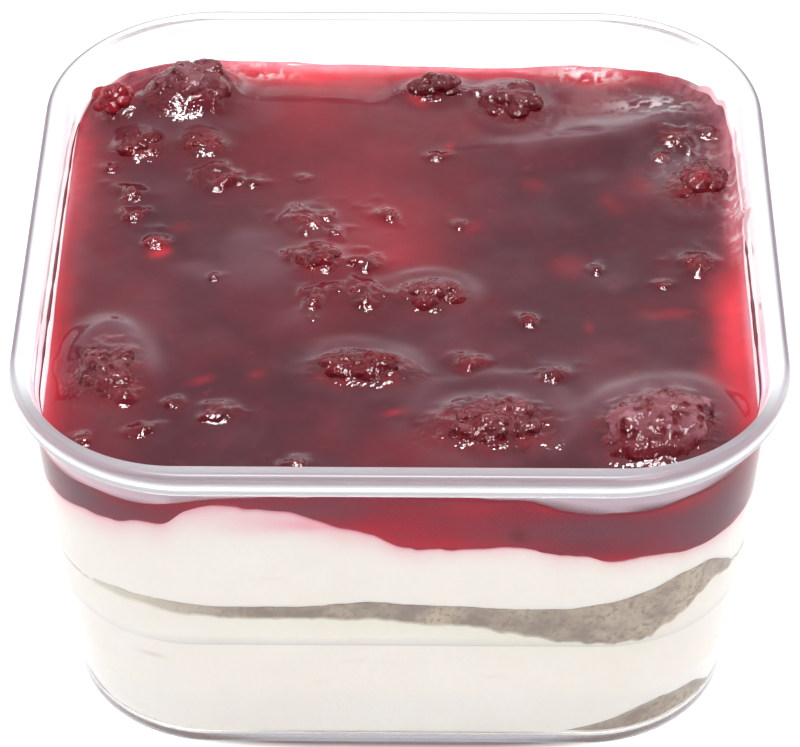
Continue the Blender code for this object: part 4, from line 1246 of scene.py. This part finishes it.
def fillings(cream_finish, sponge_finish):
    """The layers under the jelly, each between its lines round the wall."""
    where = wall_bearings()
    wedge = round_the_wall(WEDGE_TOP, where) + ragged(where, 0.12, 1.6, 21)
    sponge_low = round_the_wall(MIDDLE_SPONGE_BOTTOM, where)
    rough = 0.12 + 0.3 * smooth_step(where, -78, -60) * (1 - smooth_step(where, -34, -20))
    sponge_low = sponge_low + rough * ragged(where, 1.0, 1.3, 23)
    sponge_high = round_the_wall(MIDDLE_SPONGE_TOP, where) + ragged(where, 0.09, 2.0, 25)
    cream_high = round_the_wall(CREAM_TOP, where) + ragged(where, 0.16, 2.2, 51)
    floor = np.full(len(where), FLOOR - 0.15)

    def nothing(x, y, z, up):
        return 0.0 * x

    def crust(x, y, z, up):
        return 0.2 * smooth_step(up, 0.85, 1.0) + 0.0 * x

    def bleed(x, y, z, up):
        below = np.maximum(cream_high[None] - z, 0)
        wide = hump(where + 116, 25)[None]
        cloud = 1 + 0.35 * layered_noise(x, y, z, 6.0, 2, 91)
        near = (0.55 + 0.25 * wide) * np.exp(-below / 0.5)
        far = (0.30 + 0.32 * wide) * hump(below, 2.0 + 1.4 * wide)
        smudge = 0.55 * bell(x, z, (-10.5, 38.6, 3.2, 0.9)) * (y < 0)
        smear = 0.25 * bell(x, z, (-16.0, 38.4, 5.0, 1.6)) * (y < 0)
        return np.clip(cloud * (near + far) + smudge + smear, 0, 1)

    def soak(x, y, z, up):
        below = np.maximum(sponge_low[None] - z, 0)
        return np.clip(0.85 * hump(where + 88, 34)[None] * hump(below, 3.2), 0, 1)

    def slit(x, y, z, up):
        return np.clip(smooth_step(-y, 20, 30) * bells(x, z, SLITS), 0, 1)

    def stain(x, y, z, up):
        return hump(np.maximum(cream_high[None] - z, 0), 0.22)

    def soaked_edge(x, y, z, up):
        left_end = smooth_step(where, -176, -156) * (1 - smooth_step(where, -132, -112))
        lower = 1 - smooth_step(z - sponge_low[None], 0.0, 0.5)
        return np.clip(0.8 * lower + 0.75 * left_end[None], 0, 1)

    def pitted(x, y, z, up):
        return 0.04 * np.abs(layered_noise(x, y, z, 1.2, 2, 27))

    near = smooth_step(where, -70, -66) * (1 - smooth_step(where, -37, -33))
    made = layer_solid(
        "lower_sponge_slab", floor, np.maximum(wedge, FLOOR + 0.1), 14, SPONGE_REACH,
        inset=4.2 * (1 - near), marks={"edge": crust},
    )
    finish_piece(made, sponge_finish, "sponge", "sponge_lower")
    made = layer_solid(
        "lower_cream", floor - 0.1, sponge_low + 0.5, 40, CREAM_REACH, foot=1,
        marks={"bleed": nothing, "stain": nothing, "soak": soak, "slit": slit},
    )
    finish_piece(made, cream_finish, "cream", "cream_lower")

    made = layer_solid(
        "middle_sponge_slab", sponge_low, sponge_high, 16, SPONGE_REACH,
        marks={"edge": soaked_edge}, inset=0.35 * hump(where + 142, 7, 4), relief=pitted,
    )
    finish_piece(made, sponge_finish, "sponge", "sponge_middle")
    made = layer_solid(
        "upper_cream", sponge_high - 0.4, cream_high + 0.3, 60, CREAM_REACH,
        marks={"bleed": bleed, "stain": stain, "soak": nothing, "slit": slit},
    )
    finish_piece(made, cream_finish, "cream", "cream_upper")


def surroundings(scene):
    """Bright surroundings behind the cup and dark ones before it."""
    world = bpy.data.worlds.new("studio")
    scene.world = world
    world.use_nodes = True
    made = Nodes(world.node_tree)
    split = made.new("SeparateXYZ")
    made.link(made.new("TexCoord").outputs["Generated"], split.inputs[0])

    def by_height(levels):
        """Grey ramp over the height of a direction."""
        ramp = made.new("ValToRGB")
        steps = ramp.color_ramp.elements
        steps.remove(steps[1])
        for number, (height, bright) in enumerate(levels):
            step = steps[0] if number == 0 else steps.new(height)
            step.position = height
            step.color = (bright, bright, bright * 1.01, 1)
        made.link(split.outputs["Z"], ramp.inputs["Fac"])
        return ramp.outputs["Color"]

    share = made.ramp(split.outputs["Y"], -0.35, 0.25)
    share.node.interpolation_type = "SMOOTHSTEP"
    background = made.tree.nodes["Background"].inputs
    made.link(made.mix(share, by_height(BEFORE), by_height(BEHIND)), background["Color"])
    background["Strength"].default_value = 2.0


def lamps(scene):
    """The lamps overhead, and those that only reflections show, for the sparkle of wet surfaces."""
    for name, azimuth, elevation, distance, size, power, sparkle in LAMPS:
        data = bpy.data.lights.new(name, "AREA")
        data.shape = "RECTANGLE"
        data.size, data.size_y = size
        data.energy = power
        made = bpy.data.objects.new(name, data)
        a, e = math.radians(azimuth), math.radians(elevation)
        spot = Vector((math.sin(a) * math.cos(e), -math.cos(a) * math.cos(e), math.sin(e))) * distance
        made.location = spot + Vector((0, 0, 0.03))
        made.rotation_euler = spot.to_track_quat("Z", "Y").to_euler()
        made.visible_diffuse = not sparkle
        scene.collection.objects.link(made)


def white_floor(scene, reach=3.0, shaded=(0.50, 0.50, 0.54)):
    """White floor that glows a little beyond the cup's foot, with a painted shadow under the foot that is
    darkest in front of it.
    """
    mesh = bpy.data.meshes.new("floor")
    corners = [(-reach, -reach, 0), (reach, -reach, 0), (reach, reach, 0), (-reach, reach, 0)]
    mesh.from_pydata(corners, [], [(0, 1, 2, 3)])
    floor = bpy.data.objects.new("floor", mesh)
    scene.collection.objects.link(floor)
    made = Finish("white_floor", Roughness=0.8, Emission_Strength=1.0)
    place = made.new("TexCoord").outputs["Object"]
    split = made.new("SeparateXYZ")
    made.link(place, split.inputs[0])
    squared, length = made.new("VectorMath"), made.new("VectorMath")
    squared.operation, length.operation = "MULTIPLY", "LENGTH"
    made.link(place, squared.inputs[0])
    made.link(place, squared.inputs[1])
    made.link(squared.outputs[0], length.inputs[0])

    def from_to(near, far):
        """0 inside a rounded square of one half width, 1 outside another."""
        return made.ramp(length.outputs["Value"], (near * MM) ** 2, (far * MM) ** 2)

    # Painted contact shadow: grey under the foot, darker in front of it, and open white beyond.
    contact, open_floor = from_to(36.9, 38.2), from_to(39.0, 40.2)
    in_front = made.ramp(split.outputs["Y"], -26 * MM, -38 * MM)
    under = made.mix(contact, shaded, made.mix(in_front, shaded, (0.20, 0.14, 0.14)))
    made.colour(made.mix(open_floor, under, (0.72, 0.72, 0.725)))
    made.emission(made.mix(open_floor, BLACK, (0.36, 0.36, 0.36)))
    mesh.materials.append(made.material)


def studio():
    """Surroundings, lamps and floor, and how light is followed through the clear plastic."""
    scene = bpy.context.scene
    surroundings(scene)
    lamps(scene)
    white_floor(scene)
    scene.view_settings.view_transform = "Standard"
    scene.cycles.max_bounces = 20
    scene.cycles.glossy_bounces = 16
    scene.cycles.transmission_bounces = 20


def camera():
    """The photograph's view, from in front and above."""
    data = bpy.data.cameras.new("camera")
    data.lens = CAMERA_LENS
    data.sensor_width = CAMERA_SENSOR
    made = bpy.data.objects.new("camera", data)
    place, aim = Vector(CAMERA_PLACE) * MM, Vector(CAMERA_AIM) * MM
    made.location = place
    look = (aim - place).to_track_quat("-Z", "Y")
    roll = Euler((0, 0, math.radians(CAMERA_ROLL))).to_quaternion()
    made.rotation_mode = "QUATERNION"
    made.rotation_quaternion = look @ roll
    bpy.context.scene.collection.objects.link(made)
    bpy.context.scene.camera = made


def main():
    """Builds the cup, its fillings, the jelly and the berries, and the studio round them."""
    mottle, relief, wet = mottle_group(), relief_group(), lumps_group()
    cup = finish_piece(cup_shell(), clear_plastic(relief), "clear_plastic", "cup")
    cup.data.materials.append(rim_plastic())
    fillings(cream(mottle, relief), sponge(mottle, relief))
    bare = jelly(
        mottle, relief, wet, "raspberry_jelly", 0.40, (0.09, 0.008, 0.018), (0.055, 0.007, 0.015)
    )
    pressed = jelly(
        mottle, relief, wet, "jelly_against_the_wall", 0.0, (0.235, 0.018, 0.038), (0.15, 0.018, 0.034)
    )
    topping = finish_piece(jelly_topping(), bare, "jelly", "jelly")
    topping.data.materials.append(pressed)
    for name, heights in (("jelly_line_left", LINE_LEFT), ("jelly_line_right", LINE_RIGHT)):
        finish_piece(wall_line(name, heights, *LINE_SIZE), bare, "jelly")
    berries(berry(mottle, relief, wet))
    studio()
    camera()


main()
